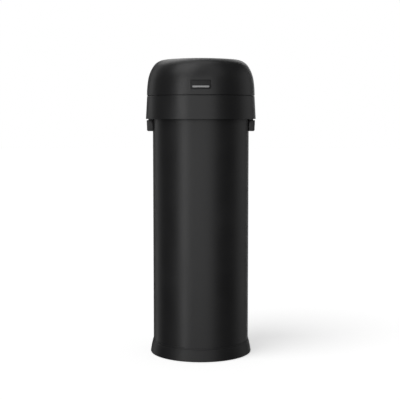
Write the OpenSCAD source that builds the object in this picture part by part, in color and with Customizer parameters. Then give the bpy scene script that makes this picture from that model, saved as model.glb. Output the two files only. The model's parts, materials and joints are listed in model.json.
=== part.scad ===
// Slim free-standing ashtray bin: a straight steel tube on a flared base, a lift-off head
// held by two side catches, a domed hinged lid, an ash tray with a drop hole, and a bucket.
// Millimetres, +Z up. The origin is on the floor, on the tube's axis. The front faces -Y.

/* [Body tube] */
// Outer diameter of the tube
tube_d = 200; // [180:1:260]
// Sheet thickness of the tube
tube_wall = 1; // [0.8:0.1:2]
// Height of the tube's top edge above the floor
tube_top_z = 531; // [420:1:760]
// Height of the inward hem at the tube's top edge
tube_hem_h = 8; // [5:1:15]
// Thickness that the hem adds inside the tube
tube_hem_t = 1; // [0.6:0.1:1.5]

/* [Base] */
// Height of the base ring's top edge above the floor
base_h = 28; // [24:1:40]
// How far the base ring stands out from the tube at the floor
base_flare = 6.2; // [5.5:0.1:10]
// How far the base ring's top edge stands out from the tube
base_lip = 0.8; // [0.6:0.1:1.4]
// How far the base ring's side bulges from a straight line
base_bulge = 0.4; // [0.2:0.1:1.2]
// Height of the base ring's floor web above the floor
base_web_z = 5; // [4:0.5:8]
// Thickness of the base ring's floor web
base_web_t = 3; // [2:0.5:5]
// Width of the rubber floor ring
floor_ring_w = 5; // [3:0.5:6]
// Sheet thickness of the bottom disc
disc_t = 1.5; // [1:0.1:3]
// Height of the bottom disc's upturned flange
disc_flange_h = 14; // [6:1:20]
// Thickness of the ballast plate
ballast_t = 12; // [8:1:20]
// Diameter of the hole in the middle of the ballast plate
ballast_hole_d = 120; // [110:1:124]
// Diameter of the circle of base screws
base_screw_pcd = 150; // [146:1:156]
// Diameter of the circle of floor bolt holes
floor_bolt_pcd = 90; // [70:1:94]
// Diameter of each floor bolt hole
floor_bolt_d = 9; // [6:0.5:11]

/* [Bucket] */
// Gap between the bucket's wall, at its top, and the tube's hem
bucket_clear = 7; // [6:0.5:20]
// How much narrower the bucket's foot is than its rim
bucket_taper = 4; // [1:0.5:10]
// Gap between the raised bail and the ash tray
bail_clear = 6.5; // [2:0.5:120]
// Sheet thickness of the bucket
bucket_wall = 0.8; // [0.6:0.1:1.2]
// Radius of the rolled rim
rim_roll_r = 2.4; // [1.8:0.1:2.6]
// Diameter of the bail wire
bail_wire_d = 5; // [4:0.2:6]

/* [Head] */
// Height of the collar
collar_h = 47.6; // [46:0.2:70]
// How far the collar's lower edge stands out from the tube
collar_foot_out = 14.5; // [14.5:0.1:20]
// How far the collar's top edge stands out from the tube
collar_top_out = 11.9; // [11.6:0.1:13]
// Wall of the collar's skirt
collar_wall = 2.4; // [2:0.1:2.6]
// Thickness of the collar's top flange
collar_flange_t = 2.4; // [2:0.1:4]
// Thickness of the carrier ring's plate
carrier_t = 3; // [2.5:0.5:5]
// Height of the sealing ring between the tube and the carrier ring
gasket_t = 2; // [1.5:0.5:4]

/* [Ash tray] */
// Depth of the ash tray under its rim
tray_depth = 44; // [30:1:46]
// Radius of the drop hole through the tray
drop_hole_r = 50; // [35:1:55]
// Height of the drop hole's wall above the tray's floor
throat_h = 32; // [27:1:36]
// Sheet thickness of the tray
tray_wall = 0.8; // [0.6:0.1:1.2]
// Depth of the stub plate's ledge under the tray's rim
ledge_depth = 16; // [12:1:22]
// Diameter of the holes in the stub plate
stub_hole_d = 7; // [4:0.5:8]
// Angle that the stub plate covers at the front
stub_angle = 80; // [50:5:120]

/* [Side catches] */
// Width of a catch lever
lever_w = 30; // [24:1:34]
// Height of the lever's outer body below the collar
lever_h = 22.8; // [18:0.2:30]
// Gap between the collar's lower edge and the lever
lever_gap = 2.2; // [2:0.1:3]
// How far the lever's face stands out from the tube
lever_out = 13; // [12.4:0.1:13.4]
// Radius of the lever's lower outer corner
lever_corner_r = 3; // [1:0.5:5]
// Radius of the catch pins
catch_pin_r = 1.5; // [1.2:0.1:1.8]

/* [Lid] */
// How far the lid's lower edge stands out from the tube
lid_out = 12.1; // [11.8:0.1:13]
// Open seam between the collar and the lid
lid_seam = 1.9; // [1.5:0.1:3]
// Wall of the lid
lid_wall = 2.8; // [2.4:0.1:4]
// Radius of the lid's side, seen from the side
side_radius = 210; // [150:5:400]
// Angle that the side turns through
side_sweep = 8.5; // [6:0.5:12]
// Radius of the lid's cheek above its side
cheek_radius = 71; // [50:1:80]
// Angle that the cheek turns through
cheek_sweep = 25.5; // [20:0.5:32]
// Radius of the lid's shoulder
shoulder_radius = 30; // [22:1:36]
// Angle that the shoulder turns through
shoulder_sweep = 51; // [42:0.5:52]
// Radius of the hinge knuckles
knuckle_r = 3.6; // [3.2:0.1:3.8]
// Radius of the hinge pin
hinge_pin_r = 1.6; // [1.2:0.1:1.8]
// How far the hinge stands out behind the lid
hinge_back = 2.1; // [1.5:0.1:2.4]
// Length of the hinge, along X
hinge_l = 48; // [36:1:54]
// Width of the lid's own knuckle
lid_knuckle_w = 17.4; // [12:0.2:20]

/* [Badge] */
// Width of the badge pocket in the lid's front
badge_w = 39; // [25:1:50]
// Height of the badge pocket
badge_h = 17; // [10:1:20]
// Height of the badge's middle above the lid's lower edge
badge_up = 19; // [14:0.5:24]
// Width of the plain light strip on the badge
strip_w = 33; // [15:1:36]
// Height of the plain light strip
strip_h = 3.4; // [2:0.2:5]

/* [Hidden] */
$fn = 96;

fit = 0.3;            // clearance between pieces that only stand beside each other
slide_fit = 0.4;      // clearance of the head's guide wall round the tube
pin_fit = 0.06;       // running clearance of a pin in a piece that turns on it
press_fit = 0.02;     // clearance of a pin in a piece that holds it
cut = 1;              // how far a cutter runs past the face that it opens
far = 400;            // longer than anything that it cuts

tube_r = tube_d / 2;
tube_in_r = tube_r - tube_wall;
hem_in_r = tube_in_r - tube_hem_t;

// Base, from the floor up
base_edge_z = 0.5;                              // the ring's rim clears the floor by this much
base_edge_r = 1.5;                              // rounding of the ring's lower rim
base_web_top = base_web_z + base_web_t;
base_wall_in_r = tube_r + 2.4;
floor_ring_out_r = base_wall_in_r - fit;
base_rib_t = 2.4;
floor_ring_in_r = floor_ring_out_r - floor_ring_w;
base_web_in_r = base_screw_pcd / 2 - 9;
base_boss_r = 6;
disc_top_z = base_web_top + disc_t;
disc_out_r = tube_in_r - fit;
ballast_out_r = disc_out_r - disc_t - 3;
ballast_top_z = disc_top_z + ballast_t;
screw_r = 2.5;
screw_head_r = 4.25;
screw_head_h = 5;
screw_recess = 6;
screw_tip_z = 2;

// Bucket, standing on the ballast plate
bucket_top_r = hem_in_r - bucket_clear;
bucket_foot_z = ballast_top_z + fit;
bucket_floor_z = bucket_foot_z + 4;
rim_c = bucket_top_r + rim_roll_r * 2 / 3;      // radius of the rolled rim's centre circle
bail_r = bail_wire_d / 2;
bail_bend = 0.3;                                // how much fatter the wire is at its pressed bend
bail_end_x = rim_c - 9.4;
bail_stop_r = bail_r + 1.6;
bail_stop_w = 1.6;
ear_t = 2;
ear_out_x = bucket_top_r - bucket_wall - 1.2;
ear_r = 7;
ear_drop = 26;                                  // the ear's length below the bail
eye_r = bail_r + fit;
rivet_r = 1.8;
rivet_drops = [14, 22];                         // rivets below the bail
rivet_head_r = 3.2;
rivet_head_t = 1.1;

// Head, from the tube's top edge up
gasket_z = tube_top_z + fit;
carrier_z = gasket_z + gasket_t;
carrier_top = carrier_z + carrier_t;
collar_top_z = carrier_top + collar_flange_t;
collar_foot_z = collar_top_z - collar_h;
collar_foot_r = tube_r + collar_foot_out;
collar_top_r = tube_r + collar_top_out;
collar_edge_r = 1.2;
guide_in_r = tube_r + slide_fit;
guide_t = 2.2;
guide_out_r = guide_in_r + guide_t;
guide_foot_z = collar_foot_z + 12;
carrier_out_r = collar_top_r - collar_wall - fit;
carrier_in_r = tube_r - 5.6;
tray_rim_r = tube_r + 1.8;
flange_in_r = tray_rim_r + 0.7;
gasket_in_r = hem_in_r - 1;
seal_in_r = flange_in_r + 0.7;
seal_out_r = seal_in_r + 2.8;
boss_at_r = (guide_out_r + carrier_out_r) / 2;
boss_r = 2.4;
small_screw_r = 1.4;
small_head_r = 2.8;
washer_r = 3.1;                                 // head of a collar screw, wider than its boss
small_head_h = 2.2;

// Ash tray, hanging by its rim
tray_out_r = carrier_in_r - 1.2;
tray_rim_top = carrier_top + tray_wall;
tray_foot_z = tray_rim_top - tray_depth;
tray_corner_r = 8;
throat_corner_r = 5;
ledge_w = 3;
ledge_z = tray_rim_top - ledge_depth;           // the stub plate lies on this ledge
throat_top_z = tray_foot_z + throat_h;
throat_lip_r = 1.4;
bail_z = tray_foot_z - bail_clear - rim_c - bail_r;
bucket_rim_z = bail_z - bail_bend - bail_r - fit - rim_roll_r;
stub_t = 1.2;
stub_in_r = drop_hole_r + tray_wall + throat_lip_r + fit;
stub_out_r = tray_out_r - tray_wall - fit;
stub_rows = 3;
stub_pitch = 13;                                // spacing of the stub plate's holes

// Side catches
pivot_x = guide_out_r + 4;
pivot_z = collar_foot_z + 6.5;
hub_r = 3.2;
lever_top_z = collar_foot_z - lever_gap;
lever_foot_z = lever_top_z - lever_h;
lever_in_r = tube_r + slide_fit;
lever_face_r = tube_r + lever_out;
lever_taper = 0.6;                              // how far the face leans in towards its foot
neck_out_x = pivot_x + 2.2;
neck_w = lever_w - 3;
hub_w = lever_w + 0.4;
cheek_t = 3;
cheek_in_y = hub_w / 2 + fit;
cheek_out_y = cheek_in_y + cheek_t;
cheek_out_x = pivot_x + 3;
spring_slot = 9.6;
slot_floor_z = pivot_z - hub_r - 0.7;
pad_t = 1.8;
pad_margin = 3;
pad_proud = 0.1;
spring_mean_r = 2.6;
spring_wire_r = 0.45;
spring_turns = 6;
spring_pitch = 1.2;
spring_sides = 8;
spring_steps = 16;                              // rings in one turn of the spring

// Lid
lid_z = collar_top_z + lid_seam;
lid_r = tube_r + lid_out;
arc_steps = 12;
side_arcs = [[side_radius, side_sweep], [cheek_radius, cheek_sweep],
             [shoulder_radius, shoulder_sweep]];
hinge_y = lid_r + hinge_back - knuckle_r;
hinge_z = lid_z + 0.3;
notch_half = hinge_l / 2 + 1.6;
notch_y = hinge_y - knuckle_r - fit;
notch_top_z = hinge_z + knuckle_r + 1.2;
ear_in_x = lid_knuckle_w / 2 + fit;
pin_head_r = 2.6;
pin_head_t = 1;
shield_t = 0.8;
shield_z = collar_top_z + 2.0 + fit;
shield_rim_r = seal_out_r;
shield_wall_r = tube_r - 4;
shield_rise = 15;
shield_lean = 6;
shield_top_z = shield_z + shield_rise;
lid_boss_at = shield_wall_r - shield_lean - 8;
lid_boss_r = 3.6;
badge_z = lid_z + badge_up;
badge_corner = 2;
pocket_depth = 1.2;
badge_t = 0.7;
badge_gap = 0.15;
strip_t = 0.25;
strip_down = 4;                                 // the strip's middle below the badge's middle

// Points along one arc, given its centre, radius and two angles
function arc(c, r, a0, a1, n = arc_steps) =
    [for (i = [0:n]) let (a = a0 + (a1 - a0) * i / n) [c[0] + r * cos(a), c[1] + r * sin(a)]];

// Arcs joined end to end with no kink, then a crown whose centre is on the axis. Each arc
// starts where the last one ended, with its centre along the last normal. d insets the curve.
function dome(arcs, p, a, d, i = 0) =
    i < len(arcs)
    ? let (r = arcs[i][0] - d, c = [p[0] - r * cos(a), p[1] - r * sin(a)],
           pts = arc(c, r, a, a + arcs[i][1]))
      concat(pts, dome(arcs, pts[arc_steps], a + arcs[i][1], d, i + 1))
    : let (r = p[0] / cos(a)) arc([0, p[1] - r * sin(a)], r, a, 90);

// The lid's outline from its lower edge to the middle of its top, d inside its face
function lid_line(d) = dome(side_arcs, [lid_r - d, lid_z], 0, d);

// A round-cornered rectangle of exact circles and squares
module round_rect(w, h, r) {
    square([w - 2 * r, h], center = true);
    square([w, h - 2 * r], center = true);
    for (x = [-1, 1], y = [-1, 1]) translate([x * (w / 2 - r), y * (h / 2 - r)]) circle(r);
}

// A plain ring between two radii and two heights
module ring(r_in, r_out, z0, z1) {
    rotate_extrude() translate([r_in, z0]) square([r_out - r_in, z1 - z0]);
}

// A cylinder along X or along Y, through a point
module rod_x(p, r, l) translate(p) rotate([0, 90, 0]) cylinder(r = r, h = l, center = true);
module rod_y(p, r, l) translate(p) rotate([90, 0, 0]) cylinder(r = r, h = l, center = true);

// Copies of the children round the axis
module around(n, start) for (i = [0:n - 1]) rotate(start + i * 360 / n) children();

// ---------------------------------------------------------------- base and tube

module floor_ring() {
    color("#151516") ring(floor_ring_in_r, floor_ring_out_r, 0, base_web_z);
}

module base_ring() {
    foot = [tube_r + base_flare, base_edge_z + base_edge_r];
    top = [tube_r + base_lip, base_h];
    mid = (foot + top) / 2;
    chord = norm(top - foot);
    bow_r = (chord * chord / 4 + base_bulge * base_bulge) / (2 * base_bulge);
    along = (top - foot) / chord;
    bow_c = mid + (bow_r - base_bulge) * [-along[1], along[0]];
    a0 = atan2(foot[1] - bow_c[1], foot[0] - bow_c[0]);
    a1 = atan2(top[1] - bow_c[1], top[0] - bow_c[0]);
    edge_c = foot - [base_edge_r, 0];
    side = concat(arc(edge_c, base_edge_r, -90, 0), arc(bow_c, bow_r, a0, a1));
    inner = [[tube_r + 0.1, base_h], [tube_r + 0.1, base_web_top], [base_web_in_r, base_web_top],
             [base_web_in_r, base_web_z], [base_wall_in_r, base_web_z],
             [base_wall_in_r, base_edge_z]];
    rib_r = floor_ring_in_r - fit;
    color("#222223") difference() {
        union() {
            rotate_extrude() polygon(concat(side, inner));
            ring(rib_r - base_rib_t, rib_r, base_edge_z + 1, base_web_z + 1);
            around(4, 45) translate([base_screw_pcd / 2, 0, base_edge_z + 1])
                cylinder(r = base_boss_r, h = base_web_top - base_edge_z - 1.5);
        }
        around(4, 45) translate([base_screw_pcd / 2, 0, base_edge_z])
            cylinder(r = screw_r + press_fit, h = far);
    }
}

module bottom_disc() {
    color("#8b8e90") difference() {
        rotate_extrude() {
            translate([0, base_web_top]) square([disc_out_r, disc_t]);
            translate([disc_out_r - disc_t, base_web_top]) square([disc_t, disc_flange_h]);
        }
        around(4, 45) translate([base_screw_pcd / 2, 0, 0])
            cylinder(r = screw_r + fit, h = far);
        around(4, 0) translate([floor_bolt_pcd / 2, 0, 0])
            cylinder(r = floor_bolt_d / 2, h = far);
    }
}

module ballast_plate() {
    color("#3a3b3c") difference() {
        ring(ballast_hole_d / 2, ballast_out_r, disc_top_z, ballast_top_z);
        around(4, 45) translate([base_screw_pcd / 2, 0, 0]) {
            cylinder(r = screw_r + fit, h = far);
            translate([0, 0, ballast_top_z - screw_recess])
                cylinder(r = screw_head_r + fit, h = far);
        }
    }
}

module base_screws() {
    seat_z = ballast_top_z - screw_recess;
    color("#a4a7a8") around(4, 45) translate([base_screw_pcd / 2, 0, 0]) difference() {
        union() {
            translate([0, 0, screw_tip_z]) cylinder(r = screw_r, h = seat_z - screw_tip_z + cut);
            translate([0, 0, seat_z]) cylinder(r = screw_head_r, h = screw_head_h);
        }
        translate([0, 0, seat_z + screw_head_h - 2.5]) cylinder(d = 4.6, h = far, $fn = 6);
    }
}

module body_tube() {
    color("#2b2b2c") rotate_extrude() {
        translate([tube_in_r, base_web_top])
            square([tube_wall, tube_top_z - base_web_top]);
        translate([hem_in_r, tube_top_z - tube_hem_h])
            square([tube_hem_t + tube_wall / 2, tube_hem_h]);
    }
}

// ---------------------------------------------------------------- bucket

module bucket_shell() {
    foot_r = bucket_top_r - bucket_taper;
    floor_r = foot_r - bucket_wall;
    color("#9da1a3") difference() {
        union() {
            rotate_extrude() polygon([
                [0, bucket_floor_z], [floor_r, bucket_floor_z], [floor_r, bucket_foot_z],
                [foot_r, bucket_foot_z], [bucket_top_r, bucket_rim_z],
                [bucket_top_r - bucket_wall, bucket_rim_z],
                [floor_r, bucket_floor_z + bucket_wall], [0, bucket_floor_z + bucket_wall]]);
            rotate_extrude() translate([rim_c, bucket_rim_z]) circle(rim_roll_r, $fn = 32);
        }
        for (s = [-1, 1], d = rivet_drops)
            rod_x([s * bucket_top_r, 0, bail_z - d], rivet_r + press_fit, 10);
    }
}

module bucket_ears() {
    color("#9da1a3") for (s = [-1, 1]) difference() {
        union() {
            rod_x([s * (ear_out_x - ear_t / 2), 0, bail_z], ear_r, ear_t);
            translate([s * (ear_out_x - ear_t / 2) - ear_t / 2, -ear_r, bail_z - ear_drop])
                cube([ear_t, 2 * ear_r, ear_drop]);
        }
        rod_x([s * ear_out_x, 0, bail_z], eye_r, 10);
        for (d = rivet_drops) rod_x([s * ear_out_x, 0, bail_z - d], rivet_r + press_fit, 10);
    }
}

module ear_rivets() {
    in_x = ear_out_x - ear_t;
    out_x = bucket_top_r + 0.2;
    color("#b4b7b8") for (s = [-1, 1], d = rivet_drops) translate([0, 0, bail_z - d]) {
        rod_x([s * (in_x + out_x) / 2, 0, 0], rivet_r, out_x - in_x + 1);
        rod_x([s * (in_x - rivet_head_t / 2), 0, 0], rivet_head_r, rivet_head_t);
        rod_x([s * (out_x + rivet_head_t / 2), 0, 0], rivet_head_r, rivet_head_t);
    }
}

module bail_handle() {
    color("#b4b7b8") translate([0, 0, bail_z]) {
        rotate_extrude(angle = 180) translate([rim_c, 0]) circle(bail_r, $fn = 32);
        for (s = [-1, 1]) {
            translate([s * rim_c, 0, 0]) sphere(bail_r + bail_bend, $fn = 32);
            rod_x([s * (rim_c + bail_end_x) / 2, 0, 0], bail_r, rim_c - bail_end_x);
            rod_x([s * (bail_end_x + bail_stop_w / 2), 0, 0], bail_stop_r, bail_stop_w);
        }
    }
}

// ---------------------------------------------------------------- head

// The two hinge towers stand at the rear of the carrier ring, flush with the collar
module hinge_towers() {
    intersection() {
        union() for (s = [-1, 1]) {
            x0 = s > 0 ? ear_in_x : -hinge_l / 2;
            w = hinge_l / 2 - ear_in_x;
            translate([x0, notch_y + fit, carrier_z]) cube([w, far, hinge_z - carrier_z]);
            translate([x0, notch_y - 2, carrier_z]) cube([w, 4, carrier_t]);
            rod_x([x0 + w / 2, hinge_y, hinge_z], knuckle_r, w);
        }
        cylinder(r = hinge_y + knuckle_r, h = far * 2);
    }
}

// Two pairs of cheeks hang from the carrier ring, inside the skirt, and hold the catch pins
module catch_cheeks() {
    foot_z = pivot_z - 4;
    intersection() {
        union() for (sx = [-1, 1], sy = [-1, 1])
            translate([sx > 0 ? guide_in_r - 1 : -cheek_out_x,
                       sy > 0 ? cheek_in_y : -cheek_out_y, foot_z])
                cube([cheek_out_x - guide_in_r + 1, cheek_t, carrier_z - foot_z + cut]);
        rotate_extrude() polygon([[0, collar_foot_z], [0, carrier_top],
            [collar_top_r - collar_wall - fit, carrier_top],
            [collar_foot_r - collar_wall - fit, collar_foot_z]]);
    }
}

module carrier_ring() {
    color("#1d1d1e") difference() {
        union() {
            ring(carrier_in_r, carrier_out_r, carrier_z, carrier_top);
            ring(guide_in_r, guide_out_r, guide_foot_z, carrier_z + cut);
            catch_cheeks();
            hinge_towers();
        }
        translate([0, 0, -cut]) cylinder(r = guide_in_r, h = carrier_z + cut);
        for (s = [-1, 1]) rod_y([s * pivot_x, 0, pivot_z], catch_pin_r + press_fit, far / 4);
        rod_x([0, hinge_y, hinge_z], hinge_pin_r + press_fit, hinge_l + 2 * cut);
        around(4, 45) translate([boss_at_r, 0, carrier_z - cut])
            cylinder(r = boss_r + fit / 2, h = far);
    }
}

module collar() {
    edge_c = [collar_top_r - collar_edge_r, collar_top_z - collar_edge_r];
    outline = concat([[collar_foot_r - collar_wall, collar_foot_z],
                      [collar_foot_r - 0.4, collar_foot_z], [collar_foot_r, collar_foot_z + 0.6]],
                     arc(edge_c, collar_edge_r, 0, 90),
                     [[flange_in_r, collar_top_z], [flange_in_r, carrier_top],
                      [collar_top_r - collar_wall, carrier_top]]);
    color("#2a2a2b") difference() {
        union() {
            rotate_extrude() polygon(outline);
            around(4, 45) translate([boss_at_r, 0, carrier_z])
                cylinder(r = boss_r, h = carrier_t + cut);
        }
        translate([-notch_half, notch_y - fit, carrier_z - fit])
            cube([2 * notch_half, far, far]);
        around(4, 45) translate([boss_at_r, 0, carrier_z - cut])
            cylinder(r = small_screw_r + press_fit, h = carrier_t + collar_flange_t - 0.8 + cut);
    }
}

module collar_screws() {
    color("#a4a7a8") around(4, 45) translate([boss_at_r, 0, carrier_z]) {
        cylinder(r = small_screw_r, h = carrier_t + collar_flange_t - 1.2);
        translate([0, 0, -small_head_h]) cylinder(r = washer_r, h = small_head_h);
    }
}

module tube_gasket() {
    color("#151516") ring(gasket_in_r, guide_in_r - 0.1, gasket_z, carrier_z);
}

module lid_seal() {
    color("#151516") ring(seal_in_r, seal_out_r, collar_top_z, shield_z - fit);
}

// The tray is one sheet, bent from a flat rim down a stepped wall, along a floor and up a throat
module ash_tray() {
    t = tray_wall;
    wall_r = tray_out_r - ledge_w;
    floor_z = tray_foot_z + t;
    under = concat([[tray_rim_r, tray_rim_top], [tray_rim_r, carrier_top],
                    [tray_out_r, carrier_top], [tray_out_r, ledge_z - t], [wall_r, ledge_z - t]],
                   arc([wall_r - tray_corner_r, tray_foot_z + tray_corner_r],
                       tray_corner_r, 0, -90),
                   arc([drop_hole_r + throat_corner_r, tray_foot_z + throat_corner_r],
                       throat_corner_r, -90, -180),
                   [[drop_hole_r, throat_top_z]]);
    over = concat([[drop_hole_r + t, throat_top_z]],
                  arc([drop_hole_r + throat_corner_r, tray_foot_z + throat_corner_r],
                      throat_corner_r - t, -180, -90),
                  arc([wall_r - tray_corner_r, tray_foot_z + tray_corner_r],
                      tray_corner_r - t, -90, 0),
                  [[wall_r - t, ledge_z], [tray_out_r - t, ledge_z],
                   [tray_out_r - t, tray_rim_top]]);
    color("#b9bcbe") union() {
        rotate_extrude() polygon(concat(under, over));
        rotate_extrude() translate([drop_hole_r + t / 2, throat_top_z])
            circle(throat_lip_r, $fn = 24);
    }
}

// A front part of a ring with rows of holes, lying on the tray's ledge
module stub_plate() {
    turn = -90 - stub_angle / 2;
    color("#c3c6c8") translate([0, 0, ledge_z]) difference() {
        rotate([0, 0, turn]) rotate_extrude(angle = stub_angle)
            translate([stub_in_r, 0]) square([stub_out_r - stub_in_r, stub_t]);
        for (row = [0:stub_rows - 1]) {
            r = stub_in_r + (stub_out_r - stub_in_r) * (row + 0.5) / stub_rows;
            step = stub_pitch / r * 180 / PI;
            n = floor((stub_angle - 2 * step / 3) / step);
            for (i = [0:n]) rotate(-90 + (i - n / 2) * step)
                translate([r, 0, -cut]) cylinder(d = stub_hole_d, h = stub_t + 2 * cut, $fn = 24);
        }
    }
}

module hinge_pin() {
    color("#a4a7a8") {
        rod_x([0, hinge_y, hinge_z], hinge_pin_r, hinge_l + 2 * pin_head_t - 0.2);
        for (s = [-1, 1])
            rod_x([s * (hinge_l / 2 + pin_head_t / 2), hinge_y, hinge_z], pin_head_r, pin_head_t);
    }
}

// ---------------------------------------------------------------- side catches

module catch_pins() {
    color("#a4a7a8") for (s = [-1, 1])
        rod_y([s * pivot_x, 0, pivot_z], catch_pin_r, 2 * cheek_out_y);
}

// One ring of points round the wire, square to the coil. The coil's axis is along Y.
function coil_ring(a, y) = [for (k = [0:spring_sides - 1])
    let (b = 360 * k / spring_sides, r = spring_mean_r + spring_wire_r * cos(b))
    [r * cos(a), y + spring_wire_r * sin(b), r * sin(a)]];

// A ring round a straight leg that carries on from the coil's end at angle a
function leg_ring(a, y, far_along) = let (t = [-sin(a), 0, cos(a)])
    [for (p = coil_ring(a, y)) p + t * far_along];

// Torsion spring round the catch pin, with one leg on the carrier and one on the lever
module spring_coil() {
    n = spring_turns * spring_steps;
    y0 = -spring_turns * spring_pitch / 2;
    turns = [for (i = [0:n]) coil_ring(-180 + 360 * i / spring_steps,
                                      y0 + spring_pitch * i / spring_steps)];
    rings = concat([leg_ring(-180, y0, -8)], turns);
    pts = [for (r = rings) each r];
    m = len(rings);
    walls = [for (i = [0:m - 2], k = [0:spring_sides - 1])
        let (a = i * spring_sides + k, b = i * spring_sides + (k + 1) % spring_sides)
        [a, b, b + spring_sides, a + spring_sides]];
    first = [for (k = [spring_sides - 1:-1:0]) k];
    last = [for (k = [0:spring_sides - 1]) (m - 1) * spring_sides + k];
    polyhedron(points = pts, faces = concat([first], walls, [last]));
}

module catch_springs() {
    color("#8f9294") for (s = [0, 1])
        rotate(180 * s) translate([pivot_x, 0, pivot_z]) spring_coil();
}

// The lever on the +X side. Its hub hangs on the pin inside the collar.
module catch_lever() {
    r = lever_corner_r;
    foot_x = lever_face_r - lever_taper;
    face = concat([[0, lever_top_z], [0, lever_foot_z]],
                  arc([foot_x - r, lever_foot_z + r], r, -90, 0),
                  arc([lever_face_r - 1, lever_top_z - 1], 1, 0, 90, 3));
    difference() {
        union() {
            intersection() {
                translate([0, lever_w / 2, 0]) rotate([90, 0, 0])
                    linear_extrude(lever_w) polygon(face);
                cylinder(r = lever_face_r, h = far * 2);
            }
            rod_y([pivot_x, 0, pivot_z], hub_r, hub_w);
            translate([pivot_x - hub_r, -neck_w / 2, lever_top_z - cut])
                cube([neck_out_x - pivot_x + hub_r, neck_w, pivot_z - lever_top_z + cut]);
            translate([0, -neck_w / 2, lever_top_z - cut])
                cube([neck_out_x, neck_w, slot_floor_z - lever_top_z + cut]);
        }
        cylinder(r = lever_in_r, h = far * 2);
        rod_y([pivot_x, 0, pivot_z], catch_pin_r + pin_fit, far / 4);
        translate([0, -spring_slot / 2, slot_floor_z]) cube([far, spring_slot, far]);
        catch_pad_blank(0.05);
    }
}

// The pad's pocket and the pad share this shape. grow is the clearance all round.
module catch_pad_blank(grow) {
    h = lever_h - 2 * pad_margin;
    w = lever_w - 2 * pad_margin;
    intersection() {
        ring(lever_in_r - pad_proud, lever_in_r + pad_t + grow,
             lever_foot_z + pad_margin - grow, lever_foot_z + pad_margin + h + grow);
        translate([0, -w / 2 - grow, 0]) cube([far, w + 2 * grow, far * 2]);
    }
}

module catch_lever_right() { color("#303031") catch_lever(); }
module catch_lever_left() { color("#303031") rotate(180) catch_lever(); }
module catch_pad_right() { color("#151516") catch_pad_blank(0); }
module catch_pad_left() { color("#151516") rotate(180) catch_pad_blank(0); }

// ---------------------------------------------------------------- lid

module lid_solid(d) {
    rotate_extrude() polygon(concat([[0, lid_z]], lid_line(d)));
}

// A round-cornered block that runs out through the lid's front, for the badge
module badge_block(w, h, r, z) {
    translate([0, 0, z]) rotate([90, 0, 0]) linear_extrude(far) round_rect(w, h, r);
}

// The part of the lid's wall between two insets that lies inside the badge block
module badge_skin(d_out, d_in, w, h, r, z) {
    intersection() {
        rotate_extrude() polygon(concat(lid_line(d_out), [for (p = reversed(lid_line(d_in))) p]));
        badge_block(w, h, r, z);
    }
}
function reversed(v) = [for (i = [len(v) - 1:-1:0]) v[i]];

module lid_shell() {
    inner = reversed(lid_line(lid_wall));
    color("#29292a") difference() {
        union() {
            difference() {
                rotate_extrude() polygon(concat(lid_line(0), inner));
                translate([-notch_half, notch_y - fit, 0]) cube([2 * notch_half, far, notch_top_z]);
            }
            intersection() {
                lid_solid(0);
                union() {
                    translate([-lid_knuckle_w / 2, hinge_y - 2.6, hinge_z])
                        cube([lid_knuckle_w, far, notch_top_z - hinge_z + 3]);
                    around(4, 45) translate([lid_boss_at, 0, shield_top_z + shield_t])
                        cylinder(r = lid_boss_r, h = far);
                }
            }
            rod_x([0, hinge_y, hinge_z], knuckle_r, lid_knuckle_w);
        }
        rod_x([0, hinge_y, hinge_z], hinge_pin_r + pin_fit, lid_knuckle_w + 2 * cut);
        around(4, 45) translate([lid_boss_at, 0, 0])
            cylinder(r = small_screw_r + press_fit, h = shield_top_z + 12);
        badge_skin(-cut, pocket_depth, badge_w, badge_h, badge_corner, badge_z);
    }
}

// Pressed sheet that closes the lid from below, over the glowing ash
module heat_shield() {
    t = shield_t;
    top_r = shield_wall_r - shield_lean;
    color("#b9bcbe") difference() {
        rotate_extrude() polygon([
            [shield_rim_r, shield_z], [shield_rim_r, shield_z + t], [shield_wall_r + t, shield_z + t],
            [top_r + t, shield_top_z + t], [0, shield_top_z + t], [0, shield_top_z],
            [top_r, shield_top_z], [shield_wall_r, shield_z]]);
        around(4, 45) translate([lid_boss_at, 0, 0]) cylinder(r = small_screw_r + fit, h = far * 2);
    }
}

module lid_screws() {
    color("#a4a7a8") around(4, 45) translate([lid_boss_at, 0, shield_top_z]) {
        cylinder(r = small_screw_r, h = 10);
        translate([0, 0, -small_head_h]) cylinder(r = small_head_r, h = small_head_h);
    }
}

module badge_plate() {
    color("#1f1f20") badge_skin(pocket_depth - badge_t, pocket_depth - press_fit,
                                badge_w - 2 * badge_gap, badge_h - 2 * badge_gap,
                                badge_corner - badge_gap, badge_z);
}

module badge_strip() {
    color("#8c8c8d") badge_skin(pocket_depth - badge_t - strip_t,
                                pocket_depth - badge_t - press_fit,
                                strip_w, strip_h, strip_h / 4, badge_z - strip_down);
}

floor_ring();
base_ring();
bottom_disc();
ballast_plate();
base_screws();
body_tube();
bucket_shell();
bucket_ears();
ear_rivets();
bail_handle();
carrier_ring();
collar();
collar_screws();
tube_gasket();
lid_seal();
ash_tray();
stub_plate();
hinge_pin();
catch_pins();
catch_springs();
catch_lever_left();
catch_lever_right();
catch_pad_left();
catch_pad_right();
lid_shell();
heat_shield();
lid_screws();
badge_plate();
badge_strip();
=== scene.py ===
"""Looks of a slim free-standing ashtray bin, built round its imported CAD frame.

Each sub-assembly is a class that reads its places from the frame, works its surfaces out with
numpy and dresses them in the finish that the real piece has. Lengths are in millimetres until
a mesh is made. The front faces -Y, +X is on the right, and the floor is at Z = 0.
"""
import json
import logging
import math
from collections.abc import Callable, Sequence
from dataclasses import dataclass
from enum import Enum

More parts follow.
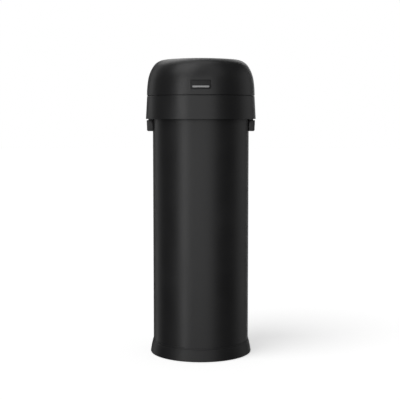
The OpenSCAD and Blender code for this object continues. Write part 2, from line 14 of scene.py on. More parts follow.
import bpy
import numpy as np
from mathutils import Matrix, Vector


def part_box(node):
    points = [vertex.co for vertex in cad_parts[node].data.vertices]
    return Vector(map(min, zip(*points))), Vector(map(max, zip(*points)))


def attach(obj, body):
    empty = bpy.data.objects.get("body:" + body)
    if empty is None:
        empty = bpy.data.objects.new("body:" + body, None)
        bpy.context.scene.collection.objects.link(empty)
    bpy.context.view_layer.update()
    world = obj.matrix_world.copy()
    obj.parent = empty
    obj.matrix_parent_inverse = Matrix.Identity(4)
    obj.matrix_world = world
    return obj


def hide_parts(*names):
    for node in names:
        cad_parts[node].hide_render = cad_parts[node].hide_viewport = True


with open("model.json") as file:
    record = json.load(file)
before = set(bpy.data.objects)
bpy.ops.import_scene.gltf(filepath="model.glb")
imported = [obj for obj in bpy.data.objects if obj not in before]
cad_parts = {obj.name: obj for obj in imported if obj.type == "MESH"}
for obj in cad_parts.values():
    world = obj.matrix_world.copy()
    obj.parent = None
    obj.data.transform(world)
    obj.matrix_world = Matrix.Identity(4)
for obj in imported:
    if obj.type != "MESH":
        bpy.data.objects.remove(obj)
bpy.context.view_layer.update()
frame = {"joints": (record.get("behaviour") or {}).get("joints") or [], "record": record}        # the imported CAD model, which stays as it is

LOG = logging.getLogger("ashtray_bin")
MM = 0.001               # metres in a millimetre
FRONT, REAR = -90.0, 90.0    # degrees round the Z axis, from +X
FINE = 192               # even angles round a large smooth piece
PAST = 5.0               # how far a cutting shape reaches past what it cuts, in millimetres
Array = np.ndarray


# ------------------------------------------------------------------ outlines


def unit(vectors: Array) -> Array:
    """Vectors scaled to a length of one. A vector of no length stays as it is."""
    length = np.linalg.norm(vectors, axis=-1, keepdims=True)
    return vectors / np.where(length < 1e-12, 1.0, length)


def arc(centre: Sequence[float], radius: float, start: float, end: float, steps: int) -> Array:
    """Points at even angles on a circle: the centre plus radius times (cosine, sine).

    Args:
        centre: The circle's centre.
        radius: Its radius.
        start: The first angle, in degrees.
        end: The last angle, in degrees.
        steps: How many stretches the arc has.

    Returns:
        The points, one row each.
    """
    a = np.radians(np.linspace(start, end, steps + 1))
    return np.array(centre) + radius * np.stack([np.cos(a), np.sin(a)], -1)


def without_repeats(line: Array, closed: bool) -> Array:
    """The line without points that lie on the point before them.

    Args:
        line: Points, one row each.
        closed: Whether the last point is followed by the first.

    Returns:
        The points that are kept.
    """
    moves = np.linalg.norm(line - np.roll(line, 1, 0), axis=1) > 1e-4
    moves[0] |= not closed
    return line[moves]


def rounded(corners: Sequence[Sequence[float]], closed: bool = True, steps: int = 5,
            hold: float = 0.5) -> Array:
    """An outline whose corners are turned into tangent arcs.

    With h half the angle between a corner's sides, an arc of radius r takes r / tan(h) off
    each side, and its centre lies r / sin(h) along the bisector. Directions on the arc are
    blended from the first to the last by sines, as on a great circle. A point is kept a
    little beyond each end of an arc, so that a long side stays flat when it is shaded.

    Args:
        corners: Rows of (across, up) or (across, up, radius).
        closed: Whether the last corner is followed by the first.
        steps: How many stretches each arc has.
        hold: How far beyond an arc's end the extra point lies.

    Returns:
        The outline's points.
    """
    table = np.array([(*c, 0.0)[:3] for c in corners], float)
    here, radius = table[:, :2], table[:, 2]
    back, ahead = unit(np.roll(here, 1, 0) - here), unit(np.roll(here, -1, 0) - here)
    half = np.arccos(np.clip((back * ahead).sum(1), -1.0, 1.0)) / 2
    half = np.clip(half, 1e-3, math.pi / 2 - 1e-5)
    trim = radius / np.tan(half)
    side = np.linalg.norm(np.roll(here, -1, 0) - here, axis=1) - trim - np.roll(trim, -1)
    spare = np.clip(side * 0.4, 0.0, hold)
    centre = here + unit(back + ahead) * (radius / np.sin(half))[:, None]
    first = unit(here + back * trim[:, None] - centre)[:, None]
    last = unit(here + ahead * trim[:, None] - centre)[:, None]
    sweep = (math.pi - 2 * half)[:, None]
    t = np.linspace(0.0, 1.0, steps + 1)[None]
    share = np.sin((1 - t) * sweep) / np.sin(sweep), np.sin(t * sweep) / np.sin(sweep)
    bend = centre[:, None] + radius[:, None, None] * (first * share[0][..., None]
                                                      + last * share[1][..., None])
    before = here + back * (trim + np.roll(spare, 1))[:, None]
    after = here + ahead * (trim + spare)[:, None]
    line = np.concatenate([before[:, None], bend, after[:, None]], 1).reshape(-1, 2)
    return without_repeats(line if closed else line[1:-1], closed)


def spaced(line: Array, step: float, closed: bool = True) -> Array:
    """The line with its own points and one more at every step of its length.

    Args:
        line: Points, one row each.
        step: The longest stretch that is left.
        closed: Whether the last point is followed by the first.

    Returns:
        The points, in the same order, each new one on a straight stretch of the line.
    """
    ring = np.vstack([line, line[:1]]) if closed else line
    run = np.concatenate([[0.0], np.cumsum(np.linalg.norm(np.diff(ring, axis=0), axis=1))])
    at = np.unique(np.concatenate([run, np.arange(0.0, run[-1], step)]))
    dense = np.stack([np.interp(at, run, ring[:, k]) for k in range(ring.shape[1])], -1)
    return without_repeats(dense[:-1] if closed else dense, closed)


def beside(line: Array, by: float, closed: bool = True) -> Array:
    """The line moved sideways to its right by one distance.

    A point goes along the mean of its two sides' normals, and further where the line turns,
    by one over the cosine of half the turn, so that every side moves by the same distance.

    Args:
        line: Points, one row each.
        by: How far to the right.
        closed: Whether the last point is followed by the first.

    Returns:
        The moved points.
    """
    if closed:
        come, leave = unit(line - np.roll(line, 1, 0)), unit(np.roll(line, -1, 0) - line)
    else:
        along = unit(np.diff(line, axis=0))
        come, leave = np.vstack([along[:1], along]), np.vstack([along, along[-1:]])
    right_in = np.stack([come[:, 1], -come[:, 0]], -1)
    right_out = np.stack([leave[:, 1], -leave[:, 0]], -1)
    mean = unit(right_in + right_out)
    turn = np.clip((mean * right_in).sum(1, keepdims=True), 0.5, 1.0)
    return line + mean * by / turn


def sheet(line: Array, thickness: float) -> Array:
    """The outline of bent sheet metal, with its cut edge rounded over.

    Args:
        line: The middle of the sheet. It may start on the axis.
        thickness: The sheet's thickness.

    Returns:
        The line moved out to one side, a half circle round its end, and the line moved out to
        the other side, with another half circle where it doesn't start on the axis.
    """
    half = thickness / 2
    left, right = beside(line, -half, False), beside(line, half, False)
    turn = np.radians(np.linspace(90.0, -90.0, 7))[1:-1, None]

    def end(point: Array, out: Array) -> Array:
        """A half circle round a point, from the left of a direction to its right."""
        over = np.array([-out[1], out[0]])
        return point + half * (np.cos(turn) * out + np.sin(turn) * over)

    far_end = end(line[-1], unit(line[-1] - line[-2]))
    if line[0, 0] < 1e-6:
        left[0, 0] = right[0, 0] = 0.0
        return np.vstack([left, far_end, right[::-1]])
    return np.vstack([left, far_end, right[::-1], end(line[0], unit(line[0] - line[1]))])


# ------------------------------------------------------------------ surfaces


class Axis(Enum):
    """Which axis a shape's own Z is laid along, as the order of its columns."""

    X = (2, 0, 1)
    Y = (1, 2, 0)


@dataclass
class Shell:
    """One closed surface: its points and its faces, in blocks of equal-sided rows."""

    points: Array
    faces: list[Array]

    def moved(self, x: float = 0.0, y: float = 0.0, z: float = 0.0) -> "Shell":
        """The same shell, shifted."""
        return Shell(self.points + np.array([x, y, z]), self.faces)

    def turned(self, degrees: float) -> "Shell":
        """The same shell, turned round the Z axis."""
        c, s = math.cos(math.radians(degrees)), math.sin(math.radians(degrees))
        return Shell(self.points @ np.array([[c, s, 0.0], [-s, c, 0.0], [0.0, 0.0, 1.0]]), self.faces)

    def laid(self, axis: Axis) -> "Shell":
        """The same shell with its own Z laid along another axis."""
        return Shell(self.points[:, list(axis.value)], self.faces)

    def mapped(self, rule: Callable[[Array], Array]) -> "Shell":
        """The same faces on points that a rule has moved."""
        return Shell(rule(self.points), self.faces)

    def welded(self) -> "Shell":
        """The shell with points in one place made one.

        Returns:
            The shell. A face that loses a side shrinks, and one that loses two goes.
        """
        _, first, number = np.unique(np.round(self.points, 4), axis=0, return_index=True,
                                     return_inverse=True)
        blocks = []
        for block in self.faces:
            rows = number.reshape(-1)[block]
            alive = rows != np.roll(rows, -1, axis=1)
            sides = alive.sum(1)
            blocks += [rows[sides == n][alive[sides == n]].reshape(-1, n)
                       for n in np.unique(sides[sides > 2])]
        return Shell(self.points[first], blocks)

    def outward(self) -> "Shell":
        """The shell with its faces pointing out.

        Returns:
            The shell itself, or one with every face turned round. The test is the sign of the
            volume: the sum over fans of triangles of a . (b x c) / 6.
        """
        volume = 0.0
        for block in self.faces:
            p = self.points[block]
            volume += np.einsum("fi,fki->", p[:, 0], np.cross(p[:, 1:-1], p[:, 2:]))
        return self if volume > 0 else Shell(self.points, [b[:, ::-1] for b in self.faces])


def grid_faces(rows: int, cols: int, wrap_rows: bool, wrap_cols: bool) -> Array:
    """Four-sided faces of a grid of points that are numbered row by row.

    Args:
        rows: How many rows of points.
        cols: How many points in a row.
        wrap_rows: Whether the last row joins the first.
        wrap_cols: Whether the last column joins the first.

    Returns:
        One row of four point numbers per face.
    """
    r, c = np.meshgrid(np.arange(rows if wrap_rows else rows - 1),
                       np.arange(cols if wrap_cols else cols - 1), indexing="ij")
    r2, c2 = (r + 1) % rows, (c + 1) % cols
    return np.stack([r * cols + c, r2 * cols + c, r2 * cols + c2, r * cols + c2], -1).reshape(-1, 4)


def around(even: int = 144, *bands: tuple[float, float, float]) -> Array:
    """Angles round the axis, even all round and closer where a detail needs it.

    Args:
        even: How many even angles.
        *bands: Rows of (middle, half width, step), in degrees.

    Returns:
        The angles in radians, in order.
    """
    sets = [np.arange(even) * 360.0 / even]
    sets += [np.arange(mid - half, mid + half, step) % 360.0 for mid, half, step in bands]
    angles = np.unique(np.round(np.concatenate(sets), 3))
    near = np.diff(angles, append=angles[0] + 360.0) > 0.05
    return np.radians(angles[near])


def revolve(outline: Array, angles: Array | None = None,
            reach: Callable[[Array, Array], Array] | None = None) -> Shell:
    """An outline of (radius, height) carried round the Z axis.

    A point is (r cos a, r sin a, z), with r first multiplied by the reach, where one is given.
    An outline that starts and ends on the axis is closed there by a pole at each end.

    Args:
        outline: The outline's points.
        angles: The angles, in radians.
        reach: Gives a share of the radius from the angles (a column) and the outline's points.

    Returns:
        The closed surface.
    """
    a = (around() if angles is None else angles)[:, None]
    radius = outline[None, :, 0] * (1.0 if reach is None else reach(a, outline))
    points = np.stack(np.broadcast_arrays(radius * np.cos(a), radius * np.sin(a),
                                          outline[None, :, 1]), -1)
    on_axis = bool(abs(outline[[0, -1], 0]).max() < 1e-6)
    shell = Shell(points.reshape(-1, 3), [grid_faces(len(a), len(outline), True, not on_axis)])
    return shell.welded() if on_axis else shell


def slab(outline: Array, low: float, high: float, edge: float = 0.5, across: int = 1,
         steps: int = 3) -> Shell:
    """A flat outline raised from one level to another, with its two rims rounded.

    The outline stands in X and Y and rises along Z. Near each end it is drawn in by
    edge (1 - sin t) while it still has edge (1 - cos t) to rise, for t from 0 to 90 degrees.

    Args:
        outline: The outline's points, anticlockwise.
        low: The lower level.
        high: The upper level.
        edge: The radius of the rims.
        across: How many stretches the side has between the rims.
        steps: How many stretches each rim has.

    Returns:
        The closed surface.
    """
    t = np.linspace(0.0, math.pi / 2, steps + 1)
    inset, rise = edge * (1 - np.sin(t)), edge * (1 - np.cos(t))
    middle = np.linspace(low + edge, high - edge, across + 1)[1:-1]
    levels = np.concatenate([low + rise, middle, (high - rise)[::-1]])
    insets = np.concatenate([inset, np.zeros(len(middle)), inset[::-1]])
    rings = np.stack([np.column_stack([beside(outline, -d), np.full(len(outline), z)])
                      for d, z in zip(insets, levels)])
    count, size = rings.shape[:2]
    ends = np.arange(size)
    return Shell(rings.reshape(-1, 3), [grid_faces(count, size, False, True)[:, ::-1],
                                        ends[None, ::-1], (ends + (count - 1) * size)[None]])


def box(low: Sequence[float], high: Sequence[float], edge: float = 0.4) -> Shell:
    """A block between two corners with every edge rounded.

    Args:
        low: Its lowest corner.
        high: Its highest corner.
        edge: The radius of its edges.

    Returns:
        The closed surface.
    """
    (x0, y0, z0), (x1, y1, z1) = low, high
    flat = rounded([(x0, y0, edge), (x1, y0, edge), (x1, y1, edge), (x0, y1, edge)], steps=3)
    return slab(flat, z0, z1, edge)


def rod(radius: float, low: float, high: float, edge: float = 0.3, sides: int = 48) -> Shell:
    """A round bar along Z between two levels, with its rims rounded.

    Args:
        radius: Its radius.
        low: Its lower end.
        high: Its upper end.
        edge: The radius of its rims.
        sides: How many angles it has.

    Returns:
        The closed surface.
    """
    return revolve(rounded([(0, low), (radius, low, edge), (radius, high, edge), (0, high)],
                           closed=False, steps=3), around(sides))


def wire(path: Array, radius: float | Array, over: Array, sides: int = 16) -> Shell:
    """A round wire along a path, with domed ends.

    A ring's points are path + r (cos b side + sin b over), where side is square to the
    path's direction and to the given one. The rings beyond each end shrink as a half ball.

    Args:
        path: The middle of the wire.
        radius: The wire's radius, or one for each point.
        over: A direction that is never along the path, or one for each point.
        sides: How many points a ring has.

    Returns:
        The closed surface.
    """
    along = unit(np.gradient(path, axis=0))
    radii = np.broadcast_to(np.asarray(radius, float), len(path))
    overs = np.broadcast_to(np.asarray(over, float), path.shape)
    dome = np.linspace(0.0, math.pi / 2, 5)[:-1][:, None]
    head = path[:1] - along[:1] * radii[0] * np.cos(dome)
    tail = (path[-1:] + along[-1:] * radii[-1] * np.cos(dome))[::-1]
    centre = np.vstack([head, path, tail])
    r = np.concatenate([radii[0] * np.sin(dome[:, 0]), radii, radii[-1] * np.sin(dome[::-1, 0])])
    way = np.vstack([np.repeat(along[:1], 4, 0), along, np.repeat(along[-1:], 4, 0)])
    up = np.vstack([np.repeat(overs[:1], 4, 0), overs, np.repeat(overs[-1:], 4, 0)])
    side = unit(np.cross(way, up))
    up = np.cross(side, way)
    b = np.linspace(0.0, 2 * math.pi, sides, endpoint=False)
    ring = np.cos(b)[None, :, None] * side[:, None] + np.sin(b)[None, :, None] * up[:, None]
    points = centre[:, None] + r[:, None, None] * ring
    return Shell(points.reshape(-1, 3), [grid_faces(len(centre), sides, False, True)]).welded()


def drill(radius: float, low: float, high: float, sides: int = 48) -> Shell:
    """A round bar along Z that cuts a hole between two levels."""
    return rod(radius, low, high, 0.1, sides)


def four(shell: Shell, start: float = 45.0) -> list[Shell]:
    """Four copies of a shell, a quarter turn apart."""
    return [shell.turned(start + 90.0 * k) for k in range(4)]


def both_sides(shell: Shell) -> list[Shell]:
    """A shell and its copy half a turn round the Z axis."""
    return [shell, shell.turned(180.0)]


# ------------------------------------------------------------------ materials


COLOUR_A, COLOUR_B, COLOUR_OUT = 6, 7, 2     # a Mix node's sockets for two colours and their mix
VECTOR_A, VECTOR_B, VECTOR_OUT = 4, 5, 1     # and for two vectors and theirs


def linear(colour: str) -> tuple[float, float, float, float]:
    """An sRGB hex colour as linear red, green and blue, with full alpha.

    Args:
        colour: The colour, such as "#1a1a1b".

    Returns:
        The four channels. Above 0.04045, a channel c becomes ((c + 0.055) / 1.055) ** 2.4.
    """
    c = np.array([int(colour[k:k + 2], 16) for k in (1, 3, 5)]) / 255.0
    r, g, b = np.where(c <= 0.04045, c / 12.92, ((c + 0.055) / 1.055) ** 2.4)
    return float(r), float(g), float(b), 1.0


def per_metre(size: float) -> float:
    """The texture scale that gives a pattern one repeat every size millimetres."""
    return 1.0 / (size * MM)


def add_node(tree: bpy.types.NodeTree, kind: str, inputs: dict | None = None,
             **settings: object) -> bpy.types.Node:
    """Adds a node with its settings and its links.

    Args:
        tree: The node tree.
        kind: The node's type, such as "ShaderNodeBump".
        inputs: What goes in, by the socket's name or number: another node's output or a value.
        **settings: The node's own properties.

    Returns:
        The node.
    """
    node = tree.nodes.new(kind)
    for name, value in settings.items():
        setattr(node, name, value)
    for socket, value in (inputs or {}).items():
        if isinstance(value, bpy.types.NodeSocket):
            tree.links.new(value, node.inputs[socket])
        else:
            node.inputs[socket].default_value = value
    return node


@dataclass(frozen=True)
class Canvas:
    """A material in the making: its nodes, its shader and the surface's coordinates."""

    tree: bpy.types.NodeTree
    shader: bpy.types.Node
    place: bpy.types.NodeSocket

    def feed(self, socket: str, source: bpy.types.NodeSocket) -> None:
        """Links an output to one of the shader's sockets."""
        self.tree.links.new(source, self.shader.inputs[socket])


@dataclass(frozen=True)
class Finish:
    """What every finish has. Each kind of finish adds its own pattern in dress()."""

    name: str
    colour: str
    roughness: float
    metallic: float = 0.0
    ior: float = 1.5

    def material(self) -> bpy.types.Material:
        """The finish's material, made the first time that it is asked for.

        Returns:
            The material.
        """
        made = bpy.data.materials.get(self.name)
        if made is not None:
            return made
        made = bpy.data.materials.new(self.name)
        made.use_nodes = True
        tree = made.node_tree
        tree.nodes.clear()
        shader = add_node(tree, "ShaderNodeBsdfPrincipled", {
            "Base Color": linear(self.colour), "Roughness": self.roughness,
            "Metallic": self.metallic, "IOR": self.ior})
        add_node(tree, "ShaderNodeOutputMaterial", {"Surface": shader.outputs["BSDF"]})
        self.dress(Canvas(tree, shader, add_node(tree, "ShaderNodeTexCoord").outputs["Object"]))
        return made

    def dress(self, on: Canvas) -> None:
        """Adds the finish's own pattern to the material in the making."""
        raise NotImplementedError

    def vary_roughness(self, on: Canvas, pattern: bpy.types.NodeSocket, spread: float) -> None:
        """Lets a pattern from 0.3 to 0.7 move the roughness up and down.

        Args:
            on: The material in the making.
            pattern: The pattern's output.
            spread: How far the roughness goes to each side of its mean.
        """
        varied = add_node(on.tree, "ShaderNodeMapRange", {
            "Value": pattern, "From Min": 0.3, "From Max": 0.7,
            "To Min": self.roughness - spread, "To Max": self.roughness + spread})
        on.feed("Roughness", varied.outputs["Result"])


def edge_rub(on: Canvas, patch: float) -> bpy.types.NodeSocket:
    """How far handling has rubbed the surface, from 0 to 1: high on outer edges, in patches.

    Args:
        on: The material in the making.
        patch: The size of the patches, in millimetres.

    Returns:
        The output.
    """
    sharp = add_node(on.tree, "ShaderNodeNewGeometry").outputs["Pointiness"]
    edge = add_node(on.tree, "ShaderNodeMapRange", {
        "Value": sharp, "From Min": 0.515, "From Max": 0.60, "To Max": 1.0})
    spots = add_node(on.tree, "ShaderNodeTexNoise", {
        "Vector": on.place, "Scale": per_metre(patch), "Detail": 3.0})
    strong = add_node(on.tree, "ShaderNodeMapRange", {
        "Value": spots.outputs["Fac"], "From Min": 0.42, "From Max": 0.66})
    rub = add_node(on.tree, "ShaderNodeMath", {0: edge.outputs["Result"], 1: strong.outputs["Result"]},
                   operation="MULTIPLY")
    return rub.outputs[0]


@dataclass(frozen=True)
class PowderCoat(Finish):
    """Polyester powder, sprayed on steel and stoved: satin, with a faint orange peel."""

    peel: float = 3.2        # spacing of the orange peel's waves
    peel_depth: float = 0.03
    grit: float = 0.9        # real powder grit is 0.1 mm, drawn coarser so that it shows
    grit_depth: float = 0.008
    cloud: float = 90.0
    dust: str = "#2c2c2d"
    rubbed: str = "#3d3d3f"

    def dress(self, on: Canvas) -> None:
        """Adds the orange peel, the grit, a breath of dust and rubbed edges.

        Args:
            on: The material in the making.
        """
        wave, grit, cloud = (add_node(on.tree, "ShaderNodeTexNoise", {
            "Vector": on.place, "Scale": per_metre(size), "Detail": detail}).outputs["Fac"]
            for size, detail in ((self.peel, 1.0), (self.grit, 0.0), (self.cloud, 4.0)))
        fine = add_node(on.tree, "ShaderNodeBump", {
            "Height": grit, "Strength": 0.5, "Distance": self.grit_depth * MM})
        bump = add_node(on.tree, "ShaderNodeBump", {
            "Height": wave, "Strength": 1.0, "Distance": self.peel_depth * MM,
            "Normal": fine.outputs["Normal"]})
        on.feed("Normal", bump.outputs["Normal"])
        settled = add_node(on.tree, "ShaderNodeMapRange", {
            "Value": cloud, "From Min": 0.4, "From Max": 0.75, "To Max": 0.25})
        coat = add_node(on.tree, "ShaderNodeMix", {
            0: settled.outputs["Result"], COLOUR_A: linear(self.colour), COLOUR_B: linear(self.dust)},
            data_type="RGBA")
        worn = add_node(on.tree, "ShaderNodeMix", {
            0: edge_rub(on, 14.0), COLOUR_A: coat.outputs[COLOUR_OUT], COLOUR_B: linear(self.rubbed)},
            data_type="RGBA")
        on.feed("Base Color", worn.outputs[COLOUR_OUT])
        self.vary_roughness(on, cloud, 0.03)


@dataclass(frozen=True)
class MouldedGrain(Finish):
    """Polypropylene moulded in a spark-eroded tool: fine grain, lighter where it is rubbed."""

    grain: float = 1.8       # real grain is 0.4 mm, drawn coarser so that it shows
    grain_depth: float = 0.045
    flow: float = 60.0       # size of the marks that the plastic's flow leaves
    flow_colour: str = "#1f1f20"
    rubbed: str = "#3a3a3b"

    def dress(self, on: Canvas) -> None:
        """Adds the grain, slow flow marks from moulding and rubbed edges.

        Args:
            on: The material in the making.
        """
        pits = add_node(on.tree, "ShaderNodeTexVoronoi", {
            "Vector": on.place, "Scale": per_metre(self.grain)}, feature="SMOOTH_F1")
        soft = add_node(on.tree, "ShaderNodeTexNoise", {
            "Vector": on.place, "Scale": per_metre(self.grain * 2.5), "Detail": 2.0})
        height = add_node(on.tree, "ShaderNodeMath", {
            0: pits.outputs["Distance"], 1: soft.outputs["Fac"]}, operation="ADD")
        bump = add_node(on.tree, "ShaderNodeBump", {
            "Height": height.outputs[0], "Strength": 0.8, "Distance": self.grain_depth * MM})
        on.feed("Normal", bump.outputs["Normal"])
        stretched = add_node(on.tree, "ShaderNodeMapping", {"Vector": on.place, "Scale": (1.0, 1.0, 0.35)})
        flow = add_node(on.tree, "ShaderNodeTexNoise", {
            "Vector": stretched.outputs["Vector"], "Scale": per_metre(self.flow), "Detail": 3.0,
            "Distortion": 0.6})
        tone = add_node(on.tree, "ShaderNodeMix", {
            0: flow.outputs["Fac"], COLOUR_A: linear(self.colour), COLOUR_B: linear(self.flow_colour)},
            data_type="RGBA")
        worn = add_node(on.tree, "ShaderNodeMix", {
            0: edge_rub(on, 9.0), COLOUR_A: tone.outputs[COLOUR_OUT], COLOUR_B: linear(self.rubbed)},
            data_type="RGBA")
        on.feed("Base Color", worn.outputs[COLOUR_OUT])
        self.vary_roughness(on, flow.outputs["Fac"], 0.04)


@dataclass(frozen=True)
class Galvanised(Finish):
    """Steel dipped in zinc: a spangle of crystals, each with its own grey and its own shine."""

    spangle: float = 7.0
    bend: float = 0.003      # how far noise bends the crystals' borders
    dark: str = "#8f9497"
    white: str = "#c9cbcb"

    def dress(self, on: Canvas) -> None:
        """Adds the crystals, their sunk borders and white bloom.

        Args:
            on: The material in the making.
        """
        size = per_metre(self.spangle)
        bent = add_node(on.tree, "ShaderNodeTexNoise", {"Vector": on.place, "Scale": size})
        ragged = add_node(on.tree, "ShaderNodeMix", {
            0: self.bend, VECTOR_A: on.place, VECTOR_B: bent.outputs["Color"]},
            data_type="VECTOR").outputs[VECTOR_OUT]
        cells = add_node(on.tree, "ShaderNodeTexVoronoi", {"Vector": ragged, "Scale": size})
        border = add_node(on.tree, "ShaderNodeTexVoronoi", {"Vector": ragged, "Scale": size},
                          feature="DISTANCE_TO_EDGE")
        tone = add_node(on.tree, "ShaderNodeSeparateColor", {"Color": cells.outputs["Color"]})
        zinc = add_node(on.tree, "ShaderNodeMix", {
            0: tone.outputs["Red"], COLOUR_A: linear(self.dark), COLOUR_B: linear(self.colour)},
            data_type="RGBA")
        bloom = add_node(on.tree, "ShaderNodeTexNoise", {
            "Vector": on.place, "Scale": per_metre(45.0), "Detail": 5.0})
        share = add_node(on.tree, "ShaderNodeMapRange", {
            "Value": bloom.outputs["Fac"], "From Min": 0.55, "From Max": 0.8, "To Max": 0.35})
        skin = add_node(on.tree, "ShaderNodeMix", {
            0: share.outputs["Result"], COLOUR_A: zinc.outputs[COLOUR_OUT], COLOUR_B: linear(self.white)},
            data_type="RGBA")
        on.feed("Base Color", skin.outputs[COLOUR_OUT])
        shine = add_node(on.tree, "ShaderNodeMapRange", {
            "Value": tone.outputs["Green"], "To Min": self.roughness - 0.09,
            "To Max": self.roughness + 0.12})
        on.feed("Roughness", shine.outputs["Result"])
        sunk = add_node(on.tree, "ShaderNodeMapRange", {
            "Value": border.outputs["Distance"], "From Max": 0.08})
        bump = add_node(on.tree, "ShaderNodeBump", {
            "Height": sunk.outputs["Result"], "Strength": 0.6, "Distance": 0.02 * MM})
        on.feed("Normal", bump.outputs["Normal"])


@dataclass(frozen=True)
class SpunStainless(Finish):
    """Stainless steel spun and polished on a lathe: fine lines that run round the axis."""

    line: float = 0.9        # real polishing lines are 0.1 mm, drawn coarser so that they show
    line_depth: float = 0.012
    ash: str = "#8a8984"

    def dress(self, on: Canvas) -> None:
        """Adds the lines, as noise over radius and height, and a haze of old ash.

        Args:
            on: The material in the making.
        """
        flat = add_node(on.tree, "ShaderNodeVectorMath", {0: on.place, 1: (1.0, 1.0, 0.0)},
                        operation="MULTIPLY")
        radius = add_node(on.tree, "ShaderNodeVectorMath", {0: flat.outputs[0]}, operation="LENGTH")
        height = add_node(on.tree, "ShaderNodeSeparateXYZ", {0: on.place})
        lines_at = add_node(on.tree, "ShaderNodeCombineXYZ", {
            "X": radius.outputs["Value"], "Z": height.outputs["Z"]})
        lines = add_node(on.tree, "ShaderNodeTexNoise", {
            "Vector": lines_at.outputs[0], "Scale": per_metre(self.line), "Detail": 2.0})
        haze = add_node(on.tree, "ShaderNodeTexNoise", {
            "Vector": on.place, "Scale": per_metre(30.0), "Detail": 5.0})
        dull = add_node(on.tree, "ShaderNodeMapRange", {
            "Value": haze.outputs["Fac"], "From Min": 0.45, "From Max": 0.8, "To Max": 0.35})
        skin = add_node(on.tree, "ShaderNodeMix", {
            0: dull.outputs["Result"], COLOUR_A: linear(self.colour), COLOUR_B: linear(self.ash)},
            data_type="RGBA")
        on.feed("Base Color", skin.outputs[COLOUR_OUT])
        self.vary_roughness(on, lines.outputs["Fac"], 0.09)
        bump = add_node(on.tree, "ShaderNodeBump", {
            "Height": lines.outputs["Fac"], "Strength": 0.5, "Distance": self.line_depth * MM})
        on.feed("Normal", bump.outputs["Normal"])


@dataclass(frozen=True)
class Mottled(Finish):
    """A finish with a fine relief, and a second colour that comes and goes in clouds."""

    second: str = "#808080"
    relief: float = 1.0      # spacing of the relief
    relief_detail: float = 2.0
    relief_strength: float = 0.4
    relief_depth: float = 0.01
    cloud: float = 5.0       # size of the clouds
    cloud_detail: float = 3.0
    cloud_range: tuple[float, float, float] = (0.0, 1.0, 1.0)    # from, to, and the most there is
    spread: float = 0.06     # how far the roughness varies with the clouds

    def dress(self, on: Canvas) -> None:
        """Adds the relief and the clouds.

        Args:
            on: The material in the making.
        """
        relief, cloud = (add_node(on.tree, "ShaderNodeTexNoise", {
            "Vector": on.place, "Scale": per_metre(size), "Detail": detail}).outputs["Fac"]
            for size, detail in ((self.relief, self.relief_detail), (self.cloud, self.cloud_detail)))
        bump = add_node(on.tree, "ShaderNodeBump", {
            "Height": relief, "Strength": self.relief_strength, "Distance": self.relief_depth * MM})
        on.feed("Normal", bump.outputs["Normal"])
        low, high, most = self.cloud_range
        share = add_node(on.tree, "ShaderNodeMapRange", {
            "Value": cloud, "From Min": low, "From Max": high, "To Max": most})
        skin = add_node(on.tree, "ShaderNodeMix", {
            0: share.outputs["Result"], COLOUR_A: linear(self.colour), COLOUR_B: linear(self.second)},
            data_type="RGBA")
        on.feed("Base Color", skin.outputs[COLOUR_OUT])
        self.vary_roughness(on, cloud, self.spread)


@dataclass(frozen=True)
class PadPrint(Finish):
    """Light grey ink, pad-printed: thin enough for the black below to show in pinholes."""

    under: str = "#3c3c3d"
    pinhole: float = 0.7     # real pinholes are 0.2 mm, drawn coarser so that they show

    def dress(self, on: Canvas) -> None:
        """Adds the pinholes and the ink's slight unevenness.

        Args:
            on: The material in the making.
        """
        film = add_node(on.tree, "ShaderNodeTexNoise", {
            "Vector": on.place, "Scale": per_metre(self.pinhole), "Detail": 3.0})
        thin = add_node(on.tree, "ShaderNodeMapRange", {
            "Value": film.outputs["Fac"], "From Min": 0.45, "From Max": 0.75, "To Max": 0.3})
        ink = add_node(on.tree, "ShaderNodeMix", {
            0: thin.outputs["Result"], COLOUR_A: linear(self.colour), COLOUR_B: linear(self.under)},
            data_type="RGBA")
        on.feed("Base Color", ink.outputs[COLOUR_OUT])
        self.vary_roughness(on, film.outputs["Fac"], 0.05)


@dataclass(frozen=True)
class PaperSweep(Finish):
    """The studio's floor: a sweep of white background paper with a faint tooth."""

    glow: float = 0.54

    def dress(self, on: Canvas) -> None:
        """Adds the paper's tooth, and a glow as from light that comes through the sweep.

        Args:
            on: The material in the making.
        """
        tooth = add_node(on.tree, "ShaderNodeTexNoise", {
            "Vector": on.place, "Scale": per_metre(3.0), "Detail": 2.0})
        bump = add_node(on.tree, "ShaderNodeBump", {
            "Height": tooth.outputs["Fac"], "Strength": 0.2, "Distance": 0.02 * MM})
        on.feed("Normal", bump.outputs["Normal"])
        on.shader.inputs["Emission Color"].default_value = linear("#ffffff")
        on.shader.inputs["Emission Strength"].default_value = self.glow


# Powder-coated steel: satin black, so that lights draw soft upright bands on the tube.
BLACK_POWDER = PowderCoat("black_powder_coated_steel", "#171718", 0.42)
# Polypropylene: black as the tube, with a fine grain that breaks up its highlights.
BLACK_MOULDING = MouldedGrain("black_moulded_polypropylene", "#161617", 0.4, ior=1.49)
# The base ring's moulding: a coarser grain, which hides knocks, and less sheen.
COARSE_MOULDING = MouldedGrain("black_coarse_grained_polypropylene", "#141415", 0.47, ior=1.44, grain=2.6)
# The badge's moulding: a duller black than the lid, so that it reads as a dark panel.
DULL_INSERT = MouldedGrain("matt_black_insert_moulding", "#0e0e0f", 0.58, ior=1.43, rubbed="#1c1c1d")
# Hot-dip galvanised sheet: mid grey metal with a spangle.
ZINC_DIPPED = Galvanised("galvanised_steel_sheet", "#b4b8ba", 0.4, metallic=1.0)
# Stainless steel, spun: clearer and warmer than zinc, with lines round the axis.
SPUN_STEEL = SpunStainless("spun_stainless_steel", "#c4c2bd", 0.3, metallic=1.0)
